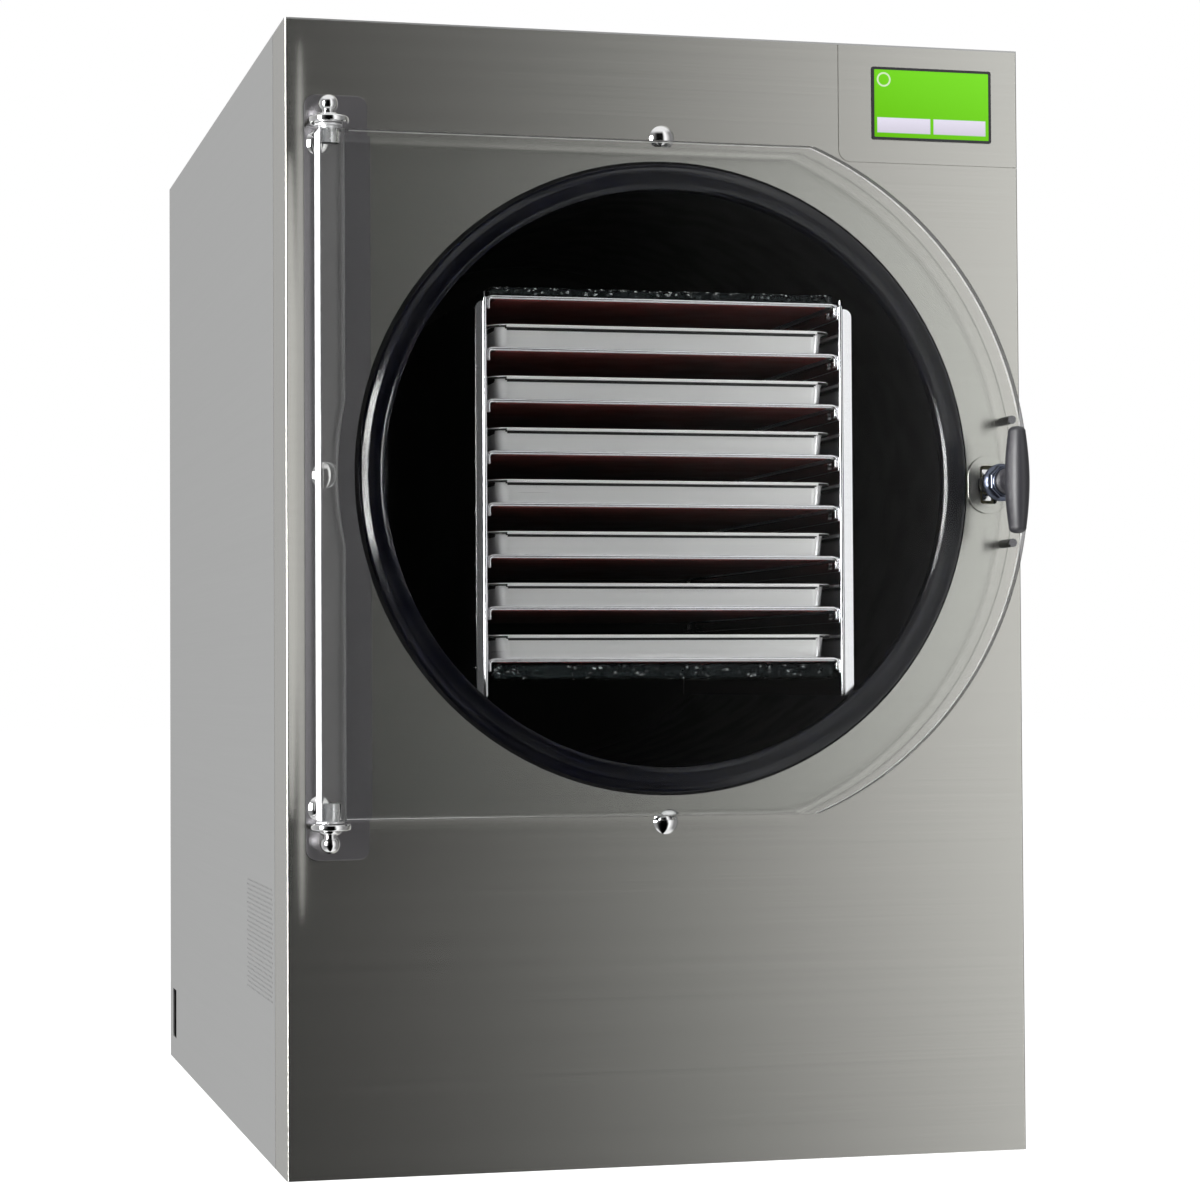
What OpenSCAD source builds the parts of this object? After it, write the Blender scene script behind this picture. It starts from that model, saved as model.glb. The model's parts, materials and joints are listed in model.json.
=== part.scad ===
// Cabinet freeze dryer with a round vacuum chamber, a clear hinged door and a seven-tray rack.
// The origin is the middle of the base underside. The front faces -Y, and +Z is up.
// Depths inside each module are measured backwards from the front face of the cabinet.

/* [Cabinet] */
// Width over the side panels
cab_w = 720; // [716:1:730]
// Depth from the front face to the rear edge
cab_d = 1010; // [1006:1:1020]
// Height over the top panel
cab_h = 1070; // [1066:1:1080]
// Thickness of the sheet steel
sheet = 1.5; // [1.4:0.1:1.6]
// Outer radius of the two front bends
bend_r = 2; // [2:0.5:8]
// Depth of the front panel's wrap round each side
wrap_d = 78; // [76:1:80]

/* [Chamber] */
// Height of the chamber axis above the floor
chamber_z = 647; // [646:1:648]
// Inner radius of the chamber
chamber_r = 278; // [277.5:0.5:278.5]
// Wall thickness of the chamber
chamber_wall = 4; // [3:0.5:4.5]
// Inner depth of the chamber
chamber_len = 600; // [595:1:602]
// Outer radius of the door gasket
gasket_r = 298; // [297:0.5:298.5]

/* [Door] */
// Thickness of the clear door slab
door_t = 44; // [40:1:46]
// Gap between the cabinet face and the rear face of the door
door_gap = 6; // [6:0.1:6.5]
// Radius of the door's round edge
door_r = 339; // [337:0.5:340]
// Half height of the door between its straight edges
door_half = 315; // [314:0.5:316]

/* [Rack] */
// Top face of the highest shelf
shelf_top_z = 816; // [814:1:817]
// Height from shelf to shelf
shelf_pitch = 48.5; // [47.5:0.5:48.5]
// Height of a tray
tray_h = 23; // [18:0.5:24]
// Length of a tray over its rim
tray_len = 546; // [530:1:548]

/* [Hidden] */
$fn = 96;
TRAYS = 7;
SHELVES = 8;
shelf_names = [for (i = [1:SHELVES]) str("shelf_", i)];
tray_names = [for (i = [1:TRAYS]) str("tray_", i)];

front_y = -cab_d / 2;
half_w = cab_w / 2;
inner_half = half_w - sheet;
back_in = cab_d - sheet;
lid_z = cab_h - sheet;

// Control fascia, at the top right of the front
fascia_x = 176;
fascia_z = 955;
fascia_r = 12;
seam = 0.7;
screen_c = [271.35, 1013.3];
screen_w = 122.4;
screen_h = 70.6;

// Door and latch
door_c = [10, 645];
door_left = -335;
door_rear = -door_gap;
door_front = -door_gap - door_t;
rabbet_d = 10;
rabbet_x = -305.5;
rabbet_r = 316;
latch_c = [320, 643.5];
shaft_r = 6;
shaft_end = -3.2;
run_fit = 0.08;
stud_x = 332;
stud_dz = 59;

// Hinge
pin_x = -324;
pin_y = -28;
pin_r = 5;
pin_fit = 0.05;
ear_t = 6;
ear_top_z = 967;
ear_low_z = 327;
ear_nose_y = -31.5;
ear_r = 18.5;
plate_t = 3;
bushing_r = 9;
bush_top = 12;
bush_low = 16;

// Dome-headed bolts: [x, z, depth of the seat]
bolt_r = 5;
dome_r = 12;
bolts = [[0, 971, 0], [0, 323, 0], [-324.6, 646, -plate_t], [-329, 954, -plate_t], [-329, 340, -plate_t]];

// Chamber shell
flange_r = 335;
flange_t = 6;
chamber_out = chamber_r + chamber_wall;
foam_in = 293;
foam_out = 333;
foam_y = 16;
rear_plate_t = 6;
port_c = [120, 760];
port_r = 8;
drain_y = 575;

// Rack
side_x = 173.5;
side_top = 820;
flange_top = 812;
side_low = 440.8;
rack_front = 8.5;
rack_back = 575;
return_x = 186;
mat_t = 1.7;
shelf_flange = 14;
screw_rows = [22, 40, 550];

// Cooling coil
coil_r = 287.2;
coil_tube = 5;
coil_turns = 9;
coil_pitch = 60;
coil_gap = 30;

// Condenser and fan, behind the left vents
fan_c = [207.5, 157.5];
fan_x = -258;
cond_x = -345;
cond_t = 40;

// Compressor
comp_c = [100, 830];
comp_r = 95;

// Side vents
vent_r = 1.25;
vent_pitch = [9, 4.6];
vent_y = [97, 277];
vent_z = [154, 260];

// Rear panel fittings
inlet_c = [230, 140];
outlet_c = [230, 230];
valve_c = [-250, 60];
lever_z = 18.3;

// ---- shape helpers -------------------------------------------------------------------------

// Moves the children so that their depths start at the front face
module from_front() {
    translate([0, front_y, 0]) children();
}

// Box between two opposite corners
module block(a, b) {
    translate(a) cube(b - a);
}

// Outline in X and Z, made solid from depth y0 to depth y1
module slab_y(y0, y1) {
    translate([0, y1, 0]) rotate([90, 0, 0]) linear_extrude(y1 - y0) children();
}

// Outline in Y and Z, made solid from x0 to x1
module slab_x(x0, x1) {
    translate([x0, 0, 0]) rotate([90, 0, 90]) linear_extrude(x1 - x0) children();
}

// Outline in X and Y, made solid from z0 to z1
module slab_z(z0, z1) {
    translate([0, 0, z0]) linear_extrude(z1 - z0) children();
}

// Round bar along Y with its axis at c = [x, z]
module bar_y(c, r, y0, y1) {
    translate([c[0], y1, c[1]]) rotate([90, 0, 0]) cylinder(h = y1 - y0, r = r);
}

// Round bar along X with its axis at c = [y, z]
module bar_x(c, r, x0, x1) {
    translate([x0, c[0], c[1]]) rotate([0, 90, 0]) cylinder(h = x1 - x0, r = r);
}

// Profile of [radius, depth] points turned about an axis along Y at c = [x, z]
module turned_y(c, profile) {
    translate([c[0], 0, c[1]]) rotate([-90, 0, 0]) rotate_extrude() polygon(profile);
}

// Profile of [radius, height] points turned about an axis along Z at c = [x, y]
module turned_z(c, profile) {
    translate([c[0], c[1], 0]) rotate_extrude() polygon(profile);
}

// Straight round bar from p to q
module rod(p, q, r) {
    d = q - p;
    translate(p) rotate([0, acos(d[2] / norm(d)), atan2(d[1], d[0])]) cylinder(h = norm(d), r = r);
}

// Bent tube through the points, with a ball at each bend
module pipe(points, r) {
    for (i = [0:len(points) - 2]) rod(points[i], points[i + 1], r);
    for (i = [1:len(points) - 2]) translate(points[i]) sphere(r);
}

// Rectangle of width w from y = 0 to y = d, with the two corners at y = 0 rounded
module bent(w, d, r) {
    translate([-w / 2 + r, 0]) square([w - 2 * r, d]);
    translate([-w / 2, r]) square([w, d - r]);
    for (s = [-1, 1]) translate([s * (w / 2 - r), r]) circle(r);
}

// Centred rectangle with four round corners
module rounded(w, d, r) {
    square([w - 2 * r, d], center = true);
    square([w, d - 2 * r], center = true);
    for (x = [-1, 1], y = [-1, 1]) translate([x * (w / 2 - r), y * (d / 2 - r)]) circle(r);
}

// Staggered round holes along X through a side panel
module side_perforations(x0, x1) {
    rows = floor((vent_z[1] - vent_z[0]) / vent_pitch[1]);
    columns = floor((vent_y[1] - vent_y[0]) / vent_pitch[0]);
    for (i = [0:rows], j = [0:columns - i % 2])
        bar_x([vent_y[0] + (j + i % 2 / 2) * vent_pitch[0], vent_z[0] + i * vent_pitch[1]], vent_r, x0, x1);
}

// ---- cabinet -------------------------------------------------------------------------------

module base_pan() {
    w = inner_half - sheet;
    color("silver") from_front() {
        translate([0, sheet]) slab_z(0, 2) bent(2 * w, cab_d - 3 * sheet, bend_r);
        for (s = [-1, 1]) block([s > 0 ? w - sheet : -w, 90, 2], [s > 0 ? w : sheet - w, back_in - sheet, 24]);
        block([-w + 30, sheet, 2], [w - 30, 2 * sheet, 24]);
        block([-w + 30, back_in - 2 * sheet, 2], [w - 30, back_in - sheet, 24]);
    }
}

// Front sheet, bent back along both sides
module wrap(z0, z1) {
    slab_z(z0, z1) difference() {
        bent(cab_w, wrap_d, bend_r);
        translate([0, sheet]) bent(2 * inner_half, wrap_d, bend_r - sheet);
    }
}

// Corner cut-out for the fascia, with its lower left corner round
module fascia_region(grow) {
    x = fascia_x - grow;
    z = fascia_z - grow;
    r = fascia_r + grow;
    block([x + r, -1, z], [half_w + 1, wrap_d + 1, cab_h]);
    block([x, -1, z + r], [half_w + 1, wrap_d + 1, cab_h]);
    bar_y([x + r, z + r], r, -1, wrap_d + 1);
}

module front_panel() {
    color("darkgray") from_front() difference() {
        wrap(0, lid_z);
        fascia_region(0);
        bar_y([0, chamber_z], gasket_r + 1, -1, 3);
        for (b = bolts) bar_y([b[0], b[1]], bolt_r + 0.2, -1, 3);
        latch_slot(-1, 3);
    }
}

module control_fascia() {
    lap = 8;
    color("darkgray") from_front() {
        difference() {
            intersection() {
                wrap(fascia_z, lid_z);
                fascia_region(-seam);
            }
            slab_y(-1, 3) translate(screen_c) square([screen_w - 2.2, screen_h - 2.2], center = true);
        }
        // Lap behind the seam
        block([fascia_x - lap, sheet, fascia_z - lap], [fascia_x + lap + 6, 2 * sheet, lid_z]);
        block([fascia_x - lap, sheet, fascia_z - lap], [inner_half - bend_r, 2 * sheet, fascia_z + lap + 6]);
    }
}

module side_panel(with_slot) {
    color("gray") from_front() difference() {
        slab_z(0, lid_z) polygon([
            [inner_half - sheet, wrap_d - 16], [inner_half, wrap_d - 16], [inner_half, wrap_d + 1.5],
            [half_w, wrap_d + 1.5], [half_w, cab_d], [half_w - 20, cab_d], [half_w - 20, back_in],
            [inner_half, back_in], [inner_half, wrap_d + 6], [inner_half - sheet, wrap_d + 6]]);
        side_perforations(inner_half - 1, half_w + 1);
        if (with_slot) block([inner_half - 1, 945, 27], [half_w + 1, 980, 85]);
    }
}

module left_side_panel() {
    mirror([1, 0, 0]) side_panel(true);
}

module right_side_panel() {
    side_panel(false);
}

module top_panel() {
    w = inner_half - sheet;
    color("darkgray") from_front() {
        slab_z(lid_z, cab_h) bent(cab_w, cab_d, bend_r);
        for (s = [-1, 1]) block([s > 0 ? w - sheet : -w, 90, lid_z - 18], [s > 0 ? w : sheet - w, back_in - 8, lid_z]);
        block([-w + 30, sheet, lid_z - 18], [fascia_x - 20, 2 * sheet, lid_z]);
    }
}

module rear_panel() {
    slot_w = 60;
    color("gray") from_front() difference() {
        block([-inner_half, back_in - sheet, 2], [inner_half, back_in, lid_z]);
        bar_y(port_c, port_r + 0.4, back_in - 3, back_in + 1);
        bar_y(valve_c, 7.4, back_in - 3, back_in + 1);
        bar_y(outlet_c, 20.3, back_in - 3, back_in + 1);
        block([inlet_c[0] - 23.2, back_in - 3, inlet_c[1] - 28.2], [inlet_c[0] + 23.2, back_in + 1, inlet_c[1] + 28.2]);
        // Louvre slots in front of the compressor and near the top
        for (z = [[150, 9], [900, 7]], i = [0:z[1]], j = [-2:2])
            slab_y(back_in - 3, back_in + 1) translate([-20 + j * (slot_w + 12), z[0] + i * 14]) rounded(slot_w, 5, 2.4);
    }
}

// ---- control screen ------------------------------------------------------------------------

module screen_bezel() {
    color("black") from_front() {
        slab_y(-1.2, 0) difference() {
            translate(screen_c) rounded(screen_w, screen_h, 2);
            translate(screen_c) rounded(screen_w - 5, screen_h - 5, 1);
        }
        slab_y(0, 6) difference() {
            translate(screen_c) rounded(screen_w - 2.4, screen_h - 2.4, 1.2);
            translate(screen_c) rounded(screen_w - 5, screen_h - 5, 1);
        }
    }
}

module touch_screen() {
    color("limegreen") from_front() slab_y(-0.5, 5) translate(screen_c) rounded(screen_w - 5, screen_h - 5, 1);
}

module control_board() {
    color("darkgreen") from_front() {
        slab_y(16, 17.6) translate(screen_c) rounded(110, 62, 3);
        for (x = [-48, 48], z = [-24, 24]) bar_y([screen_c[0] + x, screen_c[1] + z], 3, 5, 16);
        block([screen_c[0] - 30, 17.6, screen_c[1] - 18], [screen_c[0] + 10, 23, screen_c[1] + 18]);
        block([screen_c[0] + 20, 17.6, screen_c[1] - 24], [screen_c[0] + 50, 29, screen_c[1] - 6]);
    }
}

// ---- vacuum chamber ------------------------------------------------------------------------

module vacuum_chamber() {
    end = chamber_len + rear_plate_t;
    color("dimgray") from_front() difference() {
        turned_y([0, chamber_z], [
            [0, chamber_len], [chamber_r - 8, chamber_len], [chamber_r, chamber_len - 8], [chamber_r, sheet],
            [flange_r, sheet], [flange_r, sheet + flange_t], [chamber_out, sheet + flange_t],
            [chamber_out, end - 8], [chamber_out - 8, end], [0, end]]);
        for (b = bolts) bar_y([b[0], b[1]], bolt_r + 0.2, 0, 20);
        // Room for the latch bar
        block([latch_c[0] - 22, 0, latch_c[1] - 24], [latch_c[0] + 30, 20, latch_c[1] + 24]);
        bar_y(port_c, port_r - 1.5, chamber_len - 5, end + 5);
        translate([0, drain_y, chamber_z - chamber_out - 10]) cylinder(h = 40, r = 5.5);
    }
}

// Dome-headed bolts through the front panel and the chamber flange
module dome_bolts() {
    dome_h = 5;
    ball_r = (dome_r * dome_r + dome_h * dome_h) / (2 * dome_h);
    color("silver") from_front() for (b = bolts) translate([b[0], b[2], b[1]]) {
        intersection() {
            translate([0, ball_r - dome_h, 0]) sphere(ball_r);
            rotate([90, 0, 0]) cylinder(h = 2 * dome_h, r = dome_r + 1);
        }
        rotate([-90, 0, 0]) cylinder(h = 15, r = bolt_r);
        translate([0, 8 - b[2], 0]) rotate([-90, 0, 0]) cylinder(h = 6, r = 8.5, $fn = 6);
    }
}

// Bead on the front sheet and a lip that laps into the mouth of the chamber
module door_gasket() {
    lip_out = chamber_r - 0.3;
    lip_in = chamber_r - 4.5;
    color("black") from_front() turned_y([0, chamber_z], [
        [lip_out, sheet], [gasket_r, sheet], [gasket_r, -1.5], [gasket_r - 3, -2.8],
        [gasket_r - 9, -5.2], [gasket_r - 12, -5.6], [gasket_r - 15, -4.8], [lip_out + 1.5, -4.8],
        [lip_out - 1, -5.6], [lip_in + 1, -5.4], [lip_in, -4.4], [lip_in, 8], [lip_out, 8]]);
}

// Evaporator tube wound round the chamber, each turn open at the bottom and joined to the next
module cooling_coil() {
    end_x = coil_r * sin(coil_gap);
    end_z = chamber_z - coil_r * cos(coil_gap);
    link_r = coil_tube - 0.4;
    color("peru") from_front() for (i = [0:coil_turns - 1]) {
        y = coil_pitch * (i + 1);
        side = i % 2 == 0 ? 1 : -1;
        translate([0, y, chamber_z]) rotate([-90, 0, 0]) rotate([0, 0, 90 + coil_gap])
            rotate_extrude(angle = 360 - 2 * coil_gap) translate([coil_r, 0]) circle(coil_tube);
        if (i < coil_turns - 1)
            rod([side * end_x, y - link_r, end_z], [side * end_x, y + coil_pitch + link_r, end_z], link_r);
    }
}

module chamber_insulation() {
    hole = 8.5;
    color("khaki") from_front() difference() {
        turned_y([0, chamber_z], [
            [foam_in, foam_y], [foam_out, foam_y], [foam_out, chamber_len + 46], [0, chamber_len + 46],
            [0, chamber_len + rear_plate_t], [foam_in, chamber_len + rear_plate_t]]);
        bar_y(port_c, hole, chamber_len, chamber_len + 50);
        for (p = [[0, drain_y], [-coil_r / 2, coil_pitch], [coil_r / 2, coil_pitch * coil_turns]])
            translate([p[0], p[1], 300]) cylinder(h = 100, r = hole);
    }
}

// Two saddles and two tie bars
module chamber_cradle() {
    color("slategray") from_front() {
        for (y = [30, 505]) {
            difference() {
                block([-260, y, 2], [260, y + 4, 420]);
                bar_y([0, chamber_z], foam_out + 0.2, y - 1, y + 5);
            }
            block([-260, y + 4, 2], [260, y + 34, 5]);
        }
        for (x = [-230, 230]) rod([x, 34, 22], [x, 505, 22], 8);
    }
}

// ---- refrigeration -------------------------------------------------------------------------

module compressor() {
    color("black") from_front() {
        turned_z(comp_c, [
            [0, 26], [60, 26], [82, 32], [comp_r - 2, 46], [comp_r, 60], [comp_r, 118], [comp_r + 3, 119],
            [comp_r + 3, 127], [comp_r, 128], [comp_r, 190], [comp_r - 3, 205], [82, 222], [60, 232], [0, 238]]);
        slab_z(20, 26) translate(comp_c) rounded(200, 200, 20);
        block([comp_c[0] - 24, comp_c[1] + comp_r - 6, 140], [comp_c[0] + 24, comp_c[1] + comp_r + 22, 195]);
    }
}

module compressor_feet() {
    color("dimgray") from_front() for (x = [-80, 80], y = [-80, 80])
        turned_z(comp_c + [x, y], [[0, 2], [14, 2], [14, 6], [9, 10], [9, 14], [13, 17], [13, 20], [0, 20]]);
}

module condenser() {
    color("peru") from_front() {
        block([cond_x, 90, 34], [cond_x + cond_t, 325, 283]);
        for (y = [90, 300]) block([cond_x, y, 2], [cond_x + cond_t, y + 25, 34]);
        // Return bends at the end of the fin pack
        for (i = [0:4], x = [10, 30]) translate([cond_x + x, 90, 60 + i * 46]) rotate([90, 0, 0])
            rotate([0, 90, 0]) rotate_extrude(angle = 180) translate([10, 0]) circle(3.5);
    }
}

module fan_shroud() {
    x = cond_x + cond_t;
    color("dimgray") from_front() difference() {
        union() {
            block([x, 90, 2], [x + 2, 325, 283]);
            bar_x(fan_c, 103, x, x + 34);
        }
        bar_x(fan_c, 100, x - 1, x + 40);
    }
}

module fan_motor() {
    x0 = fan_x + 22;
    plate_x = cond_x + cond_t + 2;
    color("dimgray") from_front() {
        bar_x(fan_c, 34, x0, x0 + 42);
        bar_x(fan_c, 4, fan_x - 10, x0);
        for (i = [0:2]) {
            a = 90 + 120 * i;
            d = [cos(a), sin(a)];
            rod([x0 + 4, fan_c[0] + 30 * d[0], fan_c[1] + 30 * d[1]],
                [x0 + 4, fan_c[0] + 109 * d[0], fan_c[1] + 109 * d[1]], 3.5);
            rod([plate_x, fan_c[0] + 109 * d[0], fan_c[1] + 109 * d[1]],
                [x0 + 8, fan_c[0] + 109 * d[0], fan_c[1] + 109 * d[1]], 3.5);
        }
    }
}

module fan_blades() {
    tip_r = 92;
    color("silver") from_front() translate([fan_x, fan_c[0], fan_c[1]]) rotate([0, 90, 0]) difference() {
        union() {
            translate([0, 0, -12]) cylinder(h = 24, r = 28);
            intersection() {
                for (i = [0:4]) rotate([0, 0, 72 * i]) rotate([28, 0, 0])
                    translate([20, -26, -1]) cube([tip_r, 52, 2]);
                translate([0, 0, -16]) cylinder(h = 32, r = tip_r);
            }
        }
        translate([0, 0, -20]) cylinder(h = 40, r = 4 + pin_fit);
    }
}

module refrigerant_pipes() {
    low = [-coil_r * sin(coil_gap), coil_pitch, chamber_z - coil_r * cos(coil_gap) - 4.5];
    high = [-low[0], coil_pitch * coil_turns, low[2]];
    back = cond_x + 20;
    color("peru") from_front() {
        // Liquid line, with the drier in it
        pipe([[back, 325, 60], [back, 360, 60], [low[0], 360, 60], [low[0], 120, 60], [low[0], 120, 270],
              [low[0], coil_pitch, 270], low], 4);
        rod([-262, 360, 60], [-190, 360, 60], 12);
        // Suction line
        pipe([high, [high[0], high[1], 260], [high[0], 690, 260], [high[0], 690, 160],
              [high[0], comp_c[1] - 87, 160]], 5);
        // Discharge line
        pipe([[60, comp_c[1] - 88, 150], [60, 700, 150], [60, 700, 290], [back, 700, 290], [back, 700, 260],
              [back, 325, 260]], 4);
    }
}

// ---- rear fittings -------------------------------------------------------------------------

module power_inlet() {
    c = inlet_c;
    face = back_in + 2.5;
    color("black") from_front() difference() {
        union() {
            slab_y(back_in, face) translate(c) rounded(54, 64, 4);
            block([c[0] - 23, back_in - 34, c[1] - 28], [c[0] + 23, back_in, c[1] + 28]);
        }
        // Plug socket
        block([c[0] - 16, face - 26, c[1] - 24], [c[0] + 16, face + 1, c[1] - 3]);
        // Well of the rocker
        block([c[0] - 14, face - 11, c[1] + 1], [c[0] + 14, face + 1, c[1] + 25]);
        bar_x([face - 5, c[1] + 13], 1.5 + pin_fit, c[0] - 16, c[0] + 16);
    }
    color("silver") from_front() for (x = [-9, 0, 9])
        block([c[0] + x - 1, face - 26, c[1] - (x == 0 ? 12 : 18)], [c[0] + x + 1, face - 8, c[1] - (x == 0 ? 7 : 13)]);
}

module power_switch() {
    face = back_in + 2.5;
    color("black") from_front() translate([inlet_c[0], face - 5, inlet_c[1] + 13]) rotate([-10, 0, 0]) {
        slab_x(-13, 13) polygon([[-3, -9.5], [4.5, -9.5], [2.8, 0], [4.5, 9.5], [-3, 9.5]]);
        bar_x([0, 0], 1.5, -15.5, 15.5);
    }
}

module pump_outlet() {
    c = outlet_c;
    face = back_in + 4;
    color("black") from_front() difference() {
        union() {
            slab_y(back_in, face) translate(c) rounded(54, 54, 4);
            bar_y(c, 20, back_in - 24, back_in);
        }
        for (x = [-6.35, 6.35]) block([c[0] + x - 1, face - 18, c[1] - 1], [c[0] + x + 1, face + 1, c[1] + 7]);
        bar_y([c[0], c[1] - 8], 2.6, face - 18, face + 1);
    }
}

// Spigot for the vacuum hose
module vacuum_port() {
    color("silver") from_front() difference() {
        union() {
            bar_y(port_c, 24, back_in, back_in + 4);
            bar_y(port_c, 14, back_in + 4, back_in + 8);
            bar_y(port_c, port_r, back_in + 8, back_in + 36);
        }
        bar_y(port_c, port_r - 1.5, back_in - 1, back_in + 40);
    }
}

module vacuum_pipe() {
    color("silver") from_front() difference() {
        bar_y(port_c, port_r, chamber_len + rear_plate_t, back_in);
        bar_y(port_c, port_r - 1.5, chamber_len, back_in + 1);
    }
}

// Ball valve with a plain outlet spigot
module drain_valve() {
    c = valve_c;
    color("goldenrod") from_front() difference() {
        union() {
            bar_y(c, 16, back_in, back_in + 4);
            bar_y(c, 13, back_in + 4, back_in + 36);
            bar_y(c, 7, back_in + 36, back_in + 54);
            translate([c[0], back_in + 20, c[1]]) cylinder(h = lever_z - 0.3, r = 7);
            translate([c[0], back_in + 20, c[1]]) cylinder(h = lever_z + 8, r = 4);
        }
        bar_y(c, 5.5, back_in - 1, back_in + 60);
    }
}

module drain_lever() {
    color("firebrick") from_front() translate([valve_c[0], back_in + 20, valve_c[1] + lever_z]) difference() {
        union() {
            cylinder(h = 5, r = 9);
            translate([0, -5, 0]) cube([58, 10, 3.5]);
            translate([58, 0, 0]) cylinder(h = 3.5, r = 7);
        }
        translate([0, 0, -1]) cylinder(h = 8, r = 4 + pin_fit);
    }
}

module drain_pipe() {
    color("silver") from_front() pipe([[0, drain_y, chamber_z - chamber_out], [0, drain_y, valve_c[1]],
        [valve_c[0], drain_y, valve_c[1]], [valve_c[0], back_in, valve_c[1]]], 7);
}

// ---- rack and trays ------------------------------------------------------------------------

// Height of the top face of shelf i, counted from the top
function shelf_z(i) = shelf_top_z - shelf_pitch * (i - 1);

// Where the screws cross the sides: [depth, height]
screw_points = [for (i = [1:SHELVES], y = screw_rows) if (shelf_z(i) - 8 < side_top - 4) [y, shelf_z(i) - 8]];

module rack_side() {
    color("gainsboro") from_front() difference() {
        union() {
            block([side_x, rack_front, side_low], [side_x + sheet, rack_back, side_top]);
            block([side_x, rack_front, side_low], [return_x, rack_front + sheet, flange_top - 8]);
            block([side_x, rack_front, side_low], [return_x - 8, rack_front + sheet, flange_top]);
            bar_y([return_x - 8, flange_top - 8], 8, rack_front, rack_front + sheet);
            block([side_x, rack_back - sheet, side_low], [return_x, rack_back, side_top]);
            // Hem along the front edge
            block([side_x - 2.5, rack_front - 2, side_low], [side_x + 2, rack_front + sheet, flange_top + 4]);
            // Folded hem along the top edge
            block([side_x, rack_front, side_top - 8], [side_x + 2.4, rack_back, side_top]);
        }
        for (p = screw_points) bar_x(p, 1.6, side_x - 1, side_x + 3);
    }
}

module rack_side_right() {
    rack_side();
}

module rack_side_left() {
    mirror([1, 0, 0]) rack_side();
}

// Folded shelf i, open underneath
module shelf(i) {
    z = shelf_z(i);
    color("gainsboro") from_front() difference() {
        union() {
            translate([0, 0, z]) slab_y(rack_front + 2, rack_back - 3) mirror([0, 1]) difference() {
                bent(2 * side_x, shelf_flange, 5);
                translate([0, sheet]) bent(2 * (side_x - sheet), shelf_flange, 5 - sheet);
            }
            block([-side_x + 5, rack_front + 2, z - 2.6], [side_x - 5, rack_front + 3.5, z - sheet]);
        }
        for (y = screw_rows) bar_x([y, z - 8], 1.6, -side_x - 1, side_x + 1);
    }
}

// Heater mats, one bonded under each shelf
module heater_mats() {
    color("darkred") from_front() for (i = [1:SHELVES])
        block([-162, 16, shelf_z(i) - sheet - mat_t], [162, 562, shelf_z(i) - sheet]);
}

// Pressed tray i, standing on shelf i + 1
module tray(i) {
    body_w = 323;
    body_d = tray_len - 13;
    rim_w = body_w + 13.4;
    wall = 0.9;
    centre = rack_front + 3 + tray_len / 2;
    color("lightgray") from_front() translate([0, centre, shelf_z(i + 1)]) {
        slab_z(0, 1) rounded(body_w, body_d, 14);
        slab_z(0, tray_h) difference() {
            rounded(body_w, body_d, 14);
            rounded(body_w - 2 * wall, body_d - 2 * wall, 14 - wall);
        }
        slab_z(tray_h - 1, tray_h) difference() {
            rounded(rim_w, tray_len, 20);
            rounded(body_w - 2 * wall, body_d - 2 * wall, 14 - wall);
        }
        slab_z(tray_h - 3, tray_h) difference() {
            rounded(rim_w, tray_len, 20);
            rounded(rim_w - 2, tray_len - 2, 19);
        }
    }
}

// Quilted foil above the top shelf and under the lowest one
module foil_sheets() {
    low = shelf_z(SHELVES) - sheet - mat_t;
    color("slategray") from_front() {
        block([-side_x + 4, rack_front + 1, shelf_top_z], [side_x - 4, rack_back - 5, shelf_top_z + 10]);
        block([-side_x + 5, rack_front + 4, low - 17], [side_x - 5, rack_back - 5, low]);
    }
}

module rack_screws() {
    color("silver") from_front() for (s = [-1, 1], p = screw_points) scale([s, 1, 1]) {
        bar_x(p, 3.4, side_x - sheet - 1.8, side_x - sheet);
        bar_x(p, 1.5, side_x - sheet, side_x + 5);
        bar_x(p, 3, side_x + sheet, side_x + 4);
    }
}

// ---- hinge ---------------------------------------------------------------------------------

module hinge_ear(z) {
    difference() {
        union() {
            block([pin_x - ear_r, ear_nose_y, z], [pin_x + ear_r, -plate_t + 1, z + ear_t]);
            translate([pin_x, ear_nose_y, z]) cylinder(h = ear_t, r = ear_r);
        }
        translate([pin_x, pin_y, z - 1]) cylinder(h = ear_t + 2, r = pin_r);
    }
}

module hinge_plate() {
    color("dimgray") from_front() {
        difference() {
            slab_y(-plate_t, 0) translate([-312, 645.5]) rounded(57, 706, 10);
            bar_y([0, chamber_z], gasket_r + 2, -5, 1);
            for (b = bolts) bar_y([b[0], b[1]], bolt_r + 0.2, -5, 1);
        }
        hinge_ear(ear_top_z);
        hinge_ear(ear_low_z - ear_t);
    }
}

// Ball-headed pins, the top one pointing down into the door
module hinge_pins() {
    profile = [[0, -17], [pin_r - 1, -17], [pin_r, -16], [pin_r, ear_t], [10.5, ear_t], [10.5, ear_t + 1.5],
               [7.5, ear_t + 4], [6, ear_t + 6], [0, ear_t + 6]];
    color("silver") from_front() for (m = [0, 1])
        translate([pin_x, pin_y, m == 0 ? ear_top_z : ear_low_z]) mirror([0, 0, m]) {
            rotate_extrude() polygon(profile);
            translate([0, 0, ear_t + 12.5]) sphere(9);
        }
}

// ---- door ----------------------------------------------------------------------------------

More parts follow.
